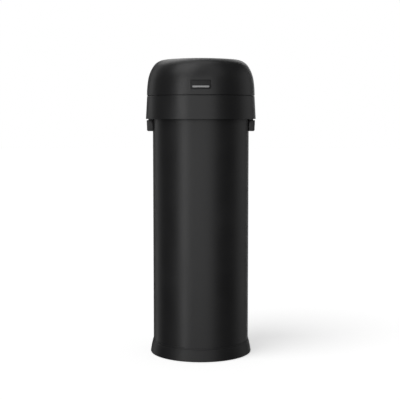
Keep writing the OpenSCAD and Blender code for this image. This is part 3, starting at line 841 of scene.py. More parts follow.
# Bright zinc plate: small hard highlights, faint drawing marks and a straw tint in clouds.
BRIGHT_ZINC = Mottled("bright_zinc_plated_steel", "#c3c7ca", 0.27, metallic=1.0, second="#c8c4ae",
                      relief=0.7)
# Moulded black rubber: nearly no highlight, and a grey bloom that comes with age.
BLACK_RUBBER = Mottled("moulded_black_rubber", "#141414", 0.82, ior=1.52, second="#333332",
                       relief=1.2, relief_detail=3.0, relief_strength=0.7, relief_depth=0.05,
                       cloud=22.0, cloud_detail=4.0, cloud_range=(0.4, 0.7, 0.6), spread=0.05)
# Sand-cast iron dipped in bitumen: a coarse skin under a dark and patchy gloss.
BLACK_IRON = Mottled("bitumen_dipped_cast_iron", "#191817", 0.5, second="#2c2926", relief=2.0,
                     relief_detail=5.0, relief_strength=0.9, relief_depth=0.25, cloud=25.0,
                     cloud_detail=2.0, spread=0.15)
# Pad-printed ink: the one light tone on the outside.
GREY_INK = PadPrint("pad_printed_grey_ink", "#a4a4a5", 0.55)
# Background paper: the pale ground that the bin stands on.
WHITE_PAPER = PaperSweep("white_background_paper", "#f2f2f2", 0.9)


# ------------------------------------------------------------------ pieces


class Boolean(Enum):
    """What a second shape does to a first: it is added to it or cut out of it."""

    ADD = "UNION"
    CUT = "DIFFERENCE"


def new_mesh(name: str, shells: Sequence[Shell]) -> bpy.types.Mesh:
    """A Blender mesh, in metres, that holds the shells.

    Args:
        name: The mesh's name.
        shells: The closed surfaces.

    Returns:
        The mesh.
    """
    points, faces, start = [], [], 0
    for shell in shells:
        shell = shell.outward()
        points.append(shell.points * MM)
        faces += [row for block in shell.faces for row in (block + start).tolist()]
        start += len(shell.points)
    mesh = bpy.data.meshes.new(name)
    mesh.from_pydata(np.concatenate(points).tolist(), [], faces)
    return mesh


def carve(mesh: bpy.types.Mesh, how: Boolean, shells: Sequence[Shell]) -> bpy.types.Mesh:
    """A mesh with shells added to it or cut out of it.

    Args:
        mesh: The first shape. It is used up.
        how: What the shells do.
        shells: Closed surfaces that don't touch each other.

    Returns:
        The new mesh.
    """
    first = bpy.data.objects.new("first_shape", mesh)
    second = bpy.data.objects.new("second_shape", new_mesh("second_shape", shells))
    for item in (first, second):
        bpy.context.scene.collection.objects.link(item)
    step = first.modifiers.new("carve", "BOOLEAN")
    step.operation, step.object, step.solver = how.value, second, "MANIFOLD"
    graph = bpy.context.evaluated_depsgraph_get()
    made = bpy.data.meshes.new_from_object(first.evaluated_get(graph))
    name = mesh.name
    for item in (first, second):
        used = item.data
        bpy.data.objects.remove(item)
        bpy.data.meshes.remove(used)
    made.name = name
    return made


KNUCKLE = 3.6                # radius of the lid's hinge
NOTCH_HALF = 25.6            # half the width of the gap for the hinge
NOTCH_GAP = 0.6              # from the hinge's front to the gap's
BODY_OF = {node: body for body, nodes in frame["record"]["behaviour"]["bodies"].items() for node in nodes}


def add_piece(name: str, node: str, finish: Finish, shells: Sequence[Shell],
              steps: Sequence[tuple[Boolean, Sequence[Shell]]] = (),
              sharp: float = 38.0) -> bpy.types.Object:
    """Makes a finished piece that stands for a CAD node and rides on that node's body.

    Args:
        name: The piece's name.
        node: The CAD node that it stands for.
        finish: Its finish.
        shells: Its closed surfaces.
        steps: Shapes to add or to cut out, in order.
        sharp: Edges that turn by more than this many degrees are shaded sharp.

    Returns:
        The piece.
    """
    mesh = new_mesh(name, shells)
    for how, tools in steps:
        mesh = carve(mesh, how, tools)
    mesh.shade_smooth()
    mesh.set_sharp_from_angle(angle=math.radians(sharp))
    mesh.materials.clear()
    mesh.materials.append(finish.material())
    piece = bpy.data.objects.new(name, mesh)
    bpy.context.scene.collection.objects.link(piece)
    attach(piece, BODY_OF[node])
    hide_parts(node)
    LOG.info("%s: %d faces, rides on %s", name, len(mesh.polygons), BODY_OF[node])
    return piece


@dataclass(frozen=True)
class Extent:
    """How far a CAD node reaches at rest, in millimetres."""

    low: Array
    high: Array

    @classmethod
    def of(cls, node: str) -> "Extent":
        """The extent of a node."""
        low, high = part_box(node)
        return cls(np.array(low) / MM, np.array(high) / MM)

    @property
    def radius(self) -> float:
        """Half its width, for a node that stands on the axis."""
        return float(self.high[0])

    @property
    def bottom(self) -> float:
        """Its lowest height."""
        return float(self.low[2])

    @property
    def top(self) -> float:
        """Its greatest height."""
        return float(self.high[2])


def mount(name: str) -> dict:
    """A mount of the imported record, by its name."""
    return next(m for m in frame["record"]["mounts"] if m["name"] == name)


def pivot(joint: str) -> Array:
    """The place of a hinge joint's axis, in millimetres."""
    found = next(j for j in frame["joints"] if j["name"] == joint)
    return np.array(found["pos_m"]) / MM


def within(points: Array, radius: float) -> Array:
    """The points with Y held to a cylinder about the bin's axis: to the root of radius^2 - x^2."""
    limit = np.sqrt(radius ** 2 - points[:, 0] ** 2)
    return np.stack([points[:, 0], np.minimum(points[:, 1], limit), points[:, 2]], -1)


def hinge_front() -> float:
    """How far behind the bin's axis the gap for the hinge starts."""
    return float(pivot("lid_hinge")[1]) - KNUCKLE - NOTCH_GAP


def hinge_gap(low: float, high: float) -> Shell:
    """The block that is cut out of the rear edge of the collar and of the lid.

    Args:
        low: Its lower face.
        high: Its upper face.

    Returns:
        A block with its corners rounded as seen from behind.
    """
    face = rounded([(-NOTCH_HALF, low, 1.5), (NOTCH_HALF, low, 1.5), (NOTCH_HALF, high, 1.5),
                    (-NOTCH_HALF, high, 1.5)])
    block = slab(face, -hinge_front() - 4 * PAST, -hinge_front(), 0.2)
    return block.mapped(lambda p: np.stack([p[:, 0], -p[:, 2], p[:, 1]], -1))


class Recess(Enum):
    """The shape of a driver's recess in a screw head."""

    HEX = "hex"
    SIX_LOBE = "six_lobe"

    def reach(self, angle: Array) -> Array:
        """The recess's reach at an angle, as a share of its corner radius.

        Args:
            angle: Angles in radians.

        Returns:
            For a hexagon, cos 30 over the cosine of the angle from the middle of its flat.
            For the lobes, a mean of 0.86 with six waves of 0.14 on it.
        """
        if self is Recess.HEX:
            flat = (angle + math.pi / 6) % (math.pi / 3) - math.pi / 6
            return math.cos(math.pi / 6) / np.cos(flat)
        return 0.86 + 0.14 * np.cos(6 * angle)


@dataclass(frozen=True)
class Screw:
    """A screw with its head's seat at Z = 0, its head above and its shank below."""

    head_r: float
    head_h: float
    shank_r: float
    length: float
    crown: float
    recess: Recess
    recess_r: float
    recess_depth: float

    def shell(self) -> Shell:
        """The screw's surface: its outline goes from the tip to the floor of the recess.

        Returns:
            The surface, with the recess's points pulled in or out to the recess's shape.
        """
        top, floor = self.head_h, self.head_h - self.recess_depth
        outline = rounded([(0, -self.length), (self.shank_r, -self.length, 0.4), (self.shank_r, 0),
            (self.head_r, 0, 0.25), (self.head_r, top, self.crown), (self.recess_r, top),
            (self.recess_r, floor, 0.2), (0, floor)], closed=False, steps=4, hold=0.2)
        inside = (outline[:, 0] <= self.recess_r + 1e-6) & (outline[:, 1] > 0)

        def reach(angle: Array, points: Array) -> Array:
            """One outside the recess, and the recess's own share inside it."""
            return np.where(inside[None], self.recess.reach(angle), 1.0)

        return revolve(outline, around(72), reach)


# ------------------------------------------------------------------ base and tube


@dataclass
class Stand:
    """What stays on the floor: rubber ring, base ring, bottom disc, ballast, screws and tube."""

    rim_fillet: float = 1.5      # the base ring's lower rim
    bulge: float = 0.4           # how far the base ring's side bows out
    side_lean: float = 0.3       # how much further out the side's line is at its very foot
    lip: float = 0.7             # thickness of the base ring's upper edge
    play: float = 0.1            # between the base ring and the tube
    foot_wall: float = 2.4       # from the tube's face to the inside of the base ring's foot
    line_down: float = 3.6       # a fine groove round the base ring, below its upper edge
    line_half: float = 0.7
    line_deep: float = 0.55
    web_low: float = 5.0         # the base ring's web, over the rubber ring
    web_thick: float = 3.0
    web_hole: float = 66.0
    rib_ring: float = 2.4        # thickness of the ring that holds the rubber ring
    rib_ring_in: float = 5.3     # how far inside the rubber ring's rim it stands
    ribs_up: float = 1.0         # its foot, above the base ring's foot
    boss: float = 6.0
    ribs: int = 12
    rib_thick: float = 1.8
    screw_circle: float = 75.0   # radius of the circle of base screws
    screw_bore: float = 2.5
    screw_play: float = 0.3
    pad_in: float = 9.1          # from the base ring's rim to the rubber ring's inner edge
    pad_grooves: tuple[float, float] = (0.32, 0.68)      # where they run, as shares of its width
    pad_groove_half: float = 0.6
    pad_groove_deep: float = 0.8
    disc_sheet: float = 1.5
    disc_bend: float = 2.2
    disc_bead: tuple[float, float] = (24.0, 31.0)        # its inner and outer edge
    disc_bead_deep: float = 1.2
    ballast_hole: float = 60.0
    ballast_draft: float = 0.5
    counterbore: float = 4.55
    counterbore_depth: float = 6.0
    tube_sheet: float = 1.0
    hem_high: float = 8.0
    hem_thick: float = 1.0
    weld_high: float = 0.12      # the tube's seam at the rear, ground down under the powder
    weld_wide: float = 1.6

    def __post_init__(self) -> None:
        """Reads the places of the stand's pieces."""
        self.tube, self.base = Extent.of("body_tube"), Extent.of("base_ring")
        self.pad, self.disc = Extent.of("floor_ring"), Extent.of("bottom_disc")
        self.ballast, self.screws = Extent.of("ballast_plate"), Extent.of("base_screws")

    def build(self) -> None:
        """Makes every piece of the stand."""
        add_piece("rubber_floor_ring", "floor_ring", BLACK_RUBBER, [self.rubber_ring()])
        self.add_base_ring()
        self.add_disc()
        self.add_ballast()
        seat = self.ballast.top - self.counterbore_depth
        screw = Screw(head_r=4.25, head_h=self.screws.top - seat, shank_r=self.screw_bore - 0.02,
                      length=seat - self.screws.bottom, crown=0.5, recess=Recess.HEX,
                      recess_r=2.65, recess_depth=2.5)
        add_piece("base_cap_screws", "base_screws", BRIGHT_ZINC,
                  four(screw.shell().moved(self.screw_circle, 0, seat)))
        add_piece("steel_tube", "body_tube", BLACK_POWDER, [self.tube_shell()])

    def rubber_ring(self) -> Shell:
        """The rubber ring, with two grooves moulded in its foot.

        Returns:
            The outline of a rounded bar with two notches, carried round.
        """
        out, low, high = self.pad.radius, self.pad.bottom, self.pad.top
        inner, half, roof = self.base.radius - self.pad_in, self.pad_groove_half, low + self.pad_groove_deep
        outline = [(inner, low, 0.6)]
        for share in self.pad_grooves:
            middle = inner + (out - inner) * share
            outline += [(middle - half, low, 0.2), (middle - half / 2, roof, 0.2),
                        (middle + half / 2, roof, 0.2), (middle + half, low, 0.2)]
        outline += [(out, low, 0.6), (out, high, 0.3), (inner, high, 0.3)]
        return revolve(rounded(outline, steps=3, hold=0.2))

    def add_base_ring(self) -> None:
        """The base ring: a bowed side on a webbed underside.

        The side's points are pushed out by bulge * 4 t (1 - t), where t goes from 0 at the
        foot to 1 at the upper edge, and in by line_deep * exp(-(d / line_half)^2) at a height
        d from the groove. Ribs, bosses and bores are then added to the underside.
        """
        base, tube = self.base, self.tube
        web_high = self.web_low + self.web_thick
        inner, wall_in = tube.radius + self.play, tube.radius + self.foot_wall
        foot = base.radius + self.side_lean
        outline = spaced(rounded([(wall_in, base.bottom, 0.5), (foot, base.bottom, self.rim_fillet),
            (inner + self.lip, base.top, 0.3), (inner, base.top, 0.2), (inner, web_high, 0.4),
            (self.web_hole, web_high, 0.5), (self.web_hole, self.web_low, 0.5),
            (wall_in, self.web_low, 0.8)]), 0.5)
        t = (outline[:, 1] - base.bottom - self.rim_fillet) / (base.top - base.bottom - self.rim_fillet)
        side = (outline[:, 0] > inner + self.lip - 0.1) & (t > 0)
        groove = np.exp(-((outline[:, 1] - base.top + self.line_down) / self.line_half) ** 2)
        outline[:, 0] += np.where(side, self.bulge * 4 * t * (1 - t) - self.line_deep * groove, 0.0)
        ring_out = self.pad.radius - self.rib_ring_in
        ring_in = ring_out - self.rib_ring
        low = base.bottom + self.ribs_up
        holder = revolve(rounded([(ring_in, low, 0.4), (ring_out, low, 0.4),
                                  (ring_out, self.web_low + 1), (ring_in, self.web_low + 1)]))
        rib = box((self.web_hole + 1.5, -self.rib_thick / 2, low + 0.5),
                  (ring_in + 1.0, self.rib_thick / 2, self.web_low + 1.0), 0.3)
        ribs = [rib.turned(360.0 * (k + 0.5) / self.ribs) for k in range(self.ribs)]
        boss = rod(self.boss, low, web_high - 0.5).moved(self.screw_circle)
        bore = rod(self.screw_bore, base.bottom, web_high + PAST).moved(self.screw_circle)
        add_piece("base_ring_moulding", "base_ring", COARSE_MOULDING, [revolve(outline, around(FINE))],
                  [(Boolean.ADD, [holder]), (Boolean.ADD, ribs), (Boolean.ADD, four(boss)),
                   (Boolean.CUT, four(bore))])

    def add_disc(self) -> None:
        """The bottom disc: pressed sheet with a bead, an upturned flange and bolt holes."""
        middle = self.disc.bottom + self.disc_sheet / 2
        edge = self.disc.radius - self.disc_sheet / 2
        (start, end), sunk = self.disc_bead, middle - self.disc_bead_deep
        line = rounded([(0, middle), (start, middle, 1.5), (start + 1.5, sunk, 1.5), (end - 1.5, sunk, 1.5),
                        (end, middle, 1.5), (edge, middle, self.disc_bend),
                        (edge, self.disc.top - self.disc_sheet / 2)], closed=False)
        holes = mount("floor_bolts")["dims"]
        bolt = drill(holes["hole_r_mm"], self.disc.bottom - PAST, middle + PAST)
        screw = drill(self.screw_bore + self.screw_play, self.disc.bottom - PAST, middle + PAST)
        add_piece("galvanised_bottom_disc", "bottom_disc", ZINC_DIPPED,
                  [revolve(sheet(line, self.disc_sheet))],
                  [(Boolean.CUT, four(bolt.moved(holes["pcd_mm"] / 2), 0.0)),
                   (Boolean.CUT, four(screw.moved(self.screw_circle)))])

    def add_ballast(self) -> None:
        """The ballast plate: a cast ring with draft, rounded edges and counterbored holes."""
        low, high, out = self.ballast.bottom, self.ballast.top, self.ballast.radius
        hole, draft = self.ballast_hole, self.ballast_draft
        outline = rounded([(hole, low, 1.2), (out, low, 1.2), (out - draft, high, 1.6),
                           (hole + draft, high, 1.6)])
        seat = high - self.counterbore_depth
        wide = drill(self.counterbore, seat, high + PAST).moved(self.screw_circle)
        narrow = drill(self.screw_bore + self.screw_play, low - PAST, seat + 1).moved(self.screw_circle)
        add_piece("cast_iron_ballast", "ballast_plate", BLACK_IRON, [revolve(outline)],
                  [(Boolean.CUT, four(wide)), (Boolean.CUT, four(narrow))])

    def tube_shell(self) -> Shell:
        """The tube: one rolled sheet, welded up the rear, with its top edge hemmed inwards.

        Returns:
            The outline carried round. At the rear, the outer face stands out by
            weld_high * exp(-(s / weld_wide)^2), with s the distance round from the seam.
        """
        out, low, high = self.tube.radius, self.tube.bottom, self.tube.top
        inner, hem = out - self.tube_sheet, out - self.tube_sheet - self.hem_thick
        outline = spaced(rounded([
            (inner, low, 0.3), (out, low, 0.3), (out, high, 0.95), (hem, high, 0.95),
            (hem, high - self.hem_high, 0.4), (inner, high - self.hem_high, 0.3)]), 12.0)

        def weld(angle: Array, points: Array) -> Array:
            """What the weld multiplies the radius by: more than one on the outer face alone."""
            swell = self.weld_high * np.exp(-(out * (angle - math.radians(REAR)) / self.weld_wide) ** 2)
            return 1.0 + np.where(points[None, :, 0] > out - 0.2, swell / out, 0.0)

        return revolve(outline, around(FINE, (REAR, 3.0, 0.25)), weld)


# ------------------------------------------------------------------ bucket


@dataclass
class Bucket:
    """The lift-out bucket: a tapered shell with beads and a rolled rim, two ears and a bail."""

    sheet_thick: float = 0.8
    taper: float = 4.0           # how much narrower the foot is
    roll: float = 2.0            # radius of the rim's roll, to the middle of the sheet
    roll_out: float = 1.6        # how far the roll's middle stands out from the wall
    floor_up: float = 4.4        # the floor's height above the foot
    bead: float = 1.2            # how far the wall's beads stand out
    bead_half: float = 3.0
    bead_shares: tuple[float, float] = (0.3, 0.72)       # their heights, from foot to rim
    ear_in: float = 87.0         # the ears' inner face, from the axis
    ear_radius: float = 7.0
    ear_below: float = 26.0
    eye: float = 2.8
    rivet_shank: float = 1.8
    rivet_head: float = 3.2
    rivet_dome: float = 1.1
    rivet_out: float = 2.2       # from the ears' outer face to the rivets' outer heads
    rivet_drops: tuple[float, float] = (14.0, 22.0)
    wire_r: float = 2.5
    wire_in: float = 5.8         # how far inside the ears' outer face the wire ends
    stop_r: float = 4.1
    stop_wide: float = 1.6
    bend: float = 5.0            # radius of the bail's two bends

    def __post_init__(self) -> None:
        """Reads the places of the bucket's pieces."""
        self.shell_box, self.ears = Extent.of("bucket_shell"), Extent.of("bucket_ears")
        self.rivets, self.bail = Extent.of("ear_rivets"), Extent.of("bail_handle")
        self.hinge = pivot("bail_swing")

    def build(self) -> None:
        """Makes every piece of the bucket."""
        self.add_shell()
        self.add_ears()
        self.add_bail()

    def add_shell(self) -> None:
        """The bucket's wall, rolled over at the rim, and a floor pressed into its foot."""
        half = self.sheet_thick / 2
        rim_r = self.shell_box.radius - self.roll - half
        rim_z = self.shell_box.top - self.roll - half
        wall_r = rim_r - self.roll_out
        foot_z = self.shell_box.bottom
        foot_r = wall_r - self.taper

        def wall(z: float) -> float:
            """The wall's radius at a height."""
            return foot_r + self.taper * (z - foot_z) / (rim_z - foot_z)

        line = [(wall(foot_z), foot_z)]
        for share in self.bead_shares:
            z = foot_z + (rim_z - foot_z) * share
            line += [(wall(z - self.bead_half), z - self.bead_half, 3.0), (wall(z) + self.bead, z, 2.0),
                     (wall(z + self.bead_half), z + self.bead_half, 3.0)]
        start = wall_r - 0.2, rim_z - self.roll - 1.0
        body = rounded([*line, (*start, 0.0)], closed=False)
        roll = arc((rim_r, rim_z), self.roll, 180.0, -100.0, 24)
        floor_z = foot_z + self.floor_up
        floor_r = wall(foot_z) - half * 2 - 0.05
        floor = rounded([(0, floor_z), (floor_r, floor_z, 1.2), (floor_r, foot_z + half)], closed=False)
        bores = [drill(self.rivet_shank, -PAST - 1, PAST + 1).laid(Axis.X)
                 .moved(s * wall_r, 0, self.hinge[2] - drop)
                 for s in (-1, 1) for drop in self.rivet_drops]
        add_piece("galvanised_bucket", "bucket_shell", ZINC_DIPPED,
                  [revolve(sheet(np.vstack([body, roll]), self.sheet_thick)),
                   revolve(sheet(floor, self.sheet_thick))], [(Boolean.CUT, bores)])

    def add_ears(self) -> None:
        """The bail's two ears, inside the wall, and the rivets that hold them."""
        inner, outer, z = self.ear_in, self.ears.radius, float(self.hinge[2])
        wide, low = self.ear_radius, z - self.ear_below
        plate = np.vstack([rounded([(-wide, z), (-wide, low, 3.0), (wide, low, 3.0), (wide, z)],
                                   closed=False), arc((0, z), wide, 0.0, 180.0, 20)[1:-1]])
        ear = slab(plate, inner, outer, 0.3).laid(Axis.X)
        eye = drill(self.eye, inner - 2, outer + 2).laid(Axis.X).moved(z=z)
        add_piece("bucket_ear_plates", "bucket_ears", ZINC_DIPPED, both_sides(ear),
                  [(Boolean.CUT, both_sides(eye))])
        far, dome = outer + self.rivet_out, self.rivet_dome
        outline = rounded([(0, inner - dome), (self.rivet_head, inner - dome, 1.0),
                           (self.rivet_head, inner), (self.rivet_shank, inner), (self.rivet_shank, far),
                           (self.rivet_head, far), (self.rivet_head, far + dome, 1.0), (0, far + dome)],
                          closed=False, hold=0.2)
        rivet = revolve(outline, around(36)).laid(Axis.X)
        add_piece("ear_dome_rivets", "ear_rivets", BRIGHT_ZINC, [
            r for drop in self.rivet_drops for r in both_sides(rivet.moved(z=z - drop))])

    def add_bail(self) -> None:
        """The bail: one wire bent to a half circle, turned in at both ends and upset there.

        The path goes in along X, round a bend, and round the half circle to the other side.
        """
        big = self.bail.radius - self.wire_r
        big = min(big, self.shell_box.radius - self.roll - self.sheet_thick / 2)
        end = self.ears.radius - self.wire_in
        turn = math.asin(self.bend / (big - self.bend))
        centre = np.array([(big - self.bend) * math.cos(turn), self.bend])
        bend = arc(centre, self.bend, -90.0, math.degrees(turn), 10)
        half = np.vstack([[(end, 0.0), (end + 1, 0.0)], bend])
        start = math.degrees(turn) + 1.5
        flat = np.vstack([half, arc((0, 0), big, start, 180.0 - start, 72), half[::-1] * (-1, 1)])
        path = np.column_stack([flat, np.full(len(flat), self.hinge[2])])
        stop = rod(self.stop_r, end, end + self.stop_wide, 0.5, 36).laid(Axis.X)
        stops = [s.moved(z=self.hinge[2]) for s in both_sides(stop)]
        add_piece("bail_wire_handle", "bail_handle", BRIGHT_ZINC,
                  [wire(path, self.wire_r - 0.01, (0.0, 0.0, 1.0), 20)], [(Boolean.ADD, stops)])


# ------------------------------------------------------------------ head


@dataclass
class Head:
    """The lift-off head: collar, carrier ring, seals, ash tray, stub plate, pins and springs."""

    skirt: float = 2.4           # thickness of the collar's wall and flange
    skirt_lean: float = 2.6      # how much further in its top is than its foot
    top_edge: float = 1.2
    flange_bore: float = 102.5
    sill_in: float = 107.2       # a low rib that keeps rain out, inside the lid's wall
    sill_out: float = 109.0
    sill_high: float = 2.5
    plate_in: float = 5.6        # the carrier's plate, from inside the tube's face
    plate_out: float = 3.3       # to outside the circle of the collar's screws
    guide_thick: float = 2.2
    guide_gap: float = 0.4
    guide_up: float = 12.0       # its foot, above the collar's
    cheek_in: float = 15.5
    cheek_out: float = 18.5
    tower_in: float = 9.0
    tower_out: float = 24.0      # and half the length of the hinge's pin
    hinge_bore: float = 1.62
    catch_bore: float = 1.52
    screw_circle: float = 105.9
    boss: float = 2.4
    gasket_wide: float = 3.3
    seal_wide: float = 2.8
    tray_sheet: float = 0.8
    tray_wall: float = 93.2      # outer radius of the tray's upper wall
    ledge: float = 3.0
    ledge_deep: float = 16.0
    drop_hole: float = 50.0
    throat: float = 32.0
    curl: float = 1.0            # radius of the curl on the throat's edge
    stub_play: float = 0.3       # from the stub plate's outer edge to the tray's wall
    stub_in: float = 1.7         # from its inner edge to the throat
    stub_corner: float = 3.0
    stub_hole: float = 3.5
    stub_rows: int = 3
    stub_pitch: float = 13.0
    stub_half_angle: float = 40.0
    pin_r: float = 1.6
    pin_head: float = 2.6
    catch_pin: float = 1.5
    coil_r: float = 2.6
    coil_wire: float = 0.45
    coil_turns: int = 6
    coil_pitch: float = 1.2

    def __post_init__(self) -> None:
        """Reads the places of the head's pieces."""
        self.collar, self.ring = Extent.of("collar"), Extent.of("carrier_ring")
        self.gasket, self.seal = Extent.of("tube_gasket"), Extent.of("lid_seal")
        self.tray, self.plate = Extent.of("ash_tray"), Extent.of("stub_plate")
        self.tube, self.pins = Extent.of("body_tube"), Extent.of("catch_pins")
        self.screws = Extent.of("collar_screws")
        self.hinge, self.catch = pivot("lid_hinge"), pivot("right_catch_pull")
        self.plate_low, self.plate_high = self.gasket.top, self.collar.top - self.skirt

    def build(self) -> None:
        """Makes every piece of the head."""
        self.add_collar()
        self.add_carrier()
        self.add_seals()
        self.add_tray()
        self.add_stub_plate()
        self.add_pins()
        self.add_springs()

    def add_collar(self) -> None:
        """The collar: a tapered skirt with a flange, open at the rear for the hinge."""
        low, high, foot = self.collar.bottom, self.collar.top, self.collar.radius
        top, crest = foot - self.skirt_lean, high + self.sill_high
        outline = rounded([(foot - self.skirt, low, 0.4), (foot, low, 0.6), (top, high, self.top_edge),
            (self.flange_bore, high, 0.6), (self.flange_bore, self.plate_high, 0.3),
            (top - self.skirt, self.plate_high, 0.6)])
        sill = revolve(rounded([(self.sill_in, high - 1.0), (self.sill_out, high - 1.0),
                                (self.sill_out, crest, 0.5), (self.sill_in, crest, 0.5)]))
        boss = rod(self.boss, self.plate_low, self.plate_high + 1).moved(self.screw_circle)
        gap = hinge_gap(self.plate_low - 0.3, high + 2 * PAST)
        add_piece("collar_moulding", "collar", BLACK_MOULDING, [revolve(outline, around(FINE))],
                  [(Boolean.ADD, [sill]), (Boolean.ADD, four(boss)), (Boolean.CUT, [gap])])
        screw = Screw(head_r=3.1, head_h=2.2, shank_r=1.35, length=4.0, crown=1.1,
                      recess=Recess.SIX_LOBE, recess_r=1.5, recess_depth=1.2).shell()
        screw = screw.mapped(lambda p: p * (1, 1, -1)).moved(self.screw_circle, 0, self.plate_low)
        add_piece("collar_pan_screws", "collar_screws", BRIGHT_ZINC, four(screw))

    def add_carrier(self) -> None:
        """The carrier ring: a plate, a guide wall, four cheeks and two hinge towers.

        The towers' outline is a block with a half round on top, round the hinge's axis. Their
        rear is held inside a cylinder about the bin's own axis.
        """
        low, high = self.plate_low, self.plate_high
        inner, outer = self.tube.radius - self.plate_in, self.screw_circle + self.plate_out
        plate = revolve(rounded([(inner, low, 0.5), (outer, low, 0.5), (outer, high, 0.5),
                                 (inner, high, 0.5)]))
        guide_in, guide_foot = self.tube.radius + self.guide_gap, self.collar.bottom + self.guide_up
        guide_out = guide_in + self.guide_thick
        guide = revolve(rounded([(guide_in, guide_foot, 0.8), (guide_out, guide_foot, 0.8),
                                 (guide_out, low + 1), (guide_in, low + 1)]))
        y, z = float(self.hinge[1]), float(self.hinge[2])
        front, rear = y - KNUCKLE, y + KNUCKLE
        face = np.vstack([arc((y, z), KNUCKLE, 0.0, 180.0, 20), [(front, low + 0.4), (rear, low + 0.4)]])
        tower = slab(spaced(face, 1.5), self.tower_in, self.tower_out, 0.6, across=10).laid(Axis.X)
        tower = tower.mapped(lambda p: within(p, rear))
        other = tower.mapped(lambda p: p * (-1, 1, 1))
        feet = [box((x, front - 3, low + 0.1), (x + self.tower_out - self.tower_in, y - 1, high - 0.1), 0.3)
                for x in (-self.tower_out, self.tower_in)]
        cheeks = self.cheeks(guide_in + 1)
        bore = drill(self.hinge_bore, -6 * PAST, 6 * PAST).laid(Axis.X).moved(0, y, z)
        pin = drill(self.catch_bore, -5 * PAST, 5 * PAST).laid(Axis.Y)
        pin = pin.moved(self.catch[0], 0, self.catch[2])
        add_piece("carrier_ring_moulding", "carrier_ring", BLACK_MOULDING, [plate],
                  [(Boolean.ADD, [guide]), (Boolean.ADD, cheeks), (Boolean.ADD, feet),
                   (Boolean.ADD, [tower, other]), (Boolean.CUT, [bore]), (Boolean.CUT, both_sides(pin))])

    def cheeks(self, inner: float) -> list[Shell]:
        """The two pairs of cheeks that hold the catches' pins.

        Args:
            inner: How far from the axis they start, which is inside the guide wall.

        Returns:
            The four cheeks.
        """
        reach, root = self.catch[0] + 3.0, self.plate_low + 1
        shoulder = min(reach, self.collar.radius - self.skirt - 2.5)
        side = rounded([(inner, self.ring.bottom, 0.8), (reach, self.ring.bottom, 1.5), (shoulder, root),
                        (inner, root)])
        cheek = slab(side, self.cheek_in, self.cheek_out, 0.4)
        cheek = cheek.mapped(lambda p: np.stack([p[:, 0], p[:, 2], p[:, 1]], -1))
        return [*both_sides(cheek), *both_sides(cheek.mapped(lambda p: p * (1, -1, 1)))]

    def add_seals(self) -> None:
        """The rubber under the head, with two lips, and the rubber round the lid's shield."""
        low, high, out = self.gasket.bottom, self.gasket.top, self.gasket.radius
        inner, lip = out - self.gasket_wide, self.gasket_wide / 3
        lips = rounded([(inner, low, 0.4), (inner + lip, low, 0.4), ((inner + out) / 2, low + 0.8, 0.4),
                        (out - lip, low, 0.4), (out, low, 0.4), (out, high, 0.3), (inner, high, 0.3)],
                       hold=0.1)
        add_piece("tube_seal_rubber", "tube_gasket", BLACK_RUBBER, [revolve(lips)])
        low, high, out = self.seal.bottom, self.seal.top, self.seal.radius
        inner = out - self.seal_wide
        bulb = rounded([(inner, low, 0.2), (out, low, 0.2), (out, high - 0.6, 0.3), (out - 0.5, high, 0.45),
                        (inner + 0.9, high, 0.6), (inner, high - 0.9, 0.4)], hold=0.1)
        add_piece("lid_seal_rubber", "lid_seal", BLACK_RUBBER, [revolve(bulb)])

    def add_tray(self) -> None:
        """The ash tray: one sheet with a stepped wall, a floor, and a throat with a curled edge."""
        t = self.tray_sheet
        top, low = self.tray.top - t / 2, self.tray.bottom + t / 2
        wall = self.tray_wall - t / 2
        ledge = self.tray.top - self.ledge_deep - t / 2
        hole = self.drop_hole + t / 2
        lip = self.tray.bottom + self.throat
        line = rounded([(self.tray.radius - t / 2, top), (wall, top, 1.2), (wall, ledge, 0.8),
                        (wall - self.ledge, ledge, 1.0), (wall - self.ledge, low, 7.6),
                        (hole, low, 5.4), (hole, lip)], closed=False, steps=8)
        curl = arc((hole + self.curl, lip), self.curl, 180.0, -70.0, 16)[1:]
        add_piece("stainless_ash_tray", "ash_tray", SPUN_STEEL,
                  [revolve(sheet(np.vstack([line, curl]), t), around(FINE))])

    def add_stub_plate(self) -> None:
        """The stub plate: a part of a ring at the front, punched with staggered rows of holes.

        The outline goes round the outer arc and back along the inner one, with its four
        corners rounded off.
        """
        out = self.tray_wall - self.tray_sheet - self.stub_play
        inner = self.drop_hole + self.tray_sheet + self.stub_in
        half, corner = self.stub_half_angle, self.stub_corner
        sides = []
        for radius, way in ((out, 1), (inner, -1)):
            start, end, end_r = FRONT - way * half, FRONT + way * half, radius - way * corner
            turn = way * math.degrees(corner / radius)
            sides += [arc((0, 0), end_r, start, start, 0),
                      arc((0, 0), radius, start + turn, end - turn, 48), arc((0, 0), end_r, end, end, 0)]
        plate = slab(np.vstack(sides), self.plate.bottom, self.plate.top, 0.25)
        holes = []
        for row in range(self.stub_rows):
            radius = inner + (out - inner) * (row + 0.5) / self.stub_rows
            step = math.degrees(self.stub_pitch / radius)
            count = math.floor((2 * half - 2 * step / 3) / step)
            hole = drill(self.stub_hole, self.plate.bottom - 2, self.plate.top + 2, 36)
            holes += [hole.moved(radius).turned(FRONT + (i - count / 2) * step) for i in range(count + 1)]
        add_piece("punched_stub_plate", "stub_plate", SPUN_STEEL, [plate], [(Boolean.CUT, holes)])

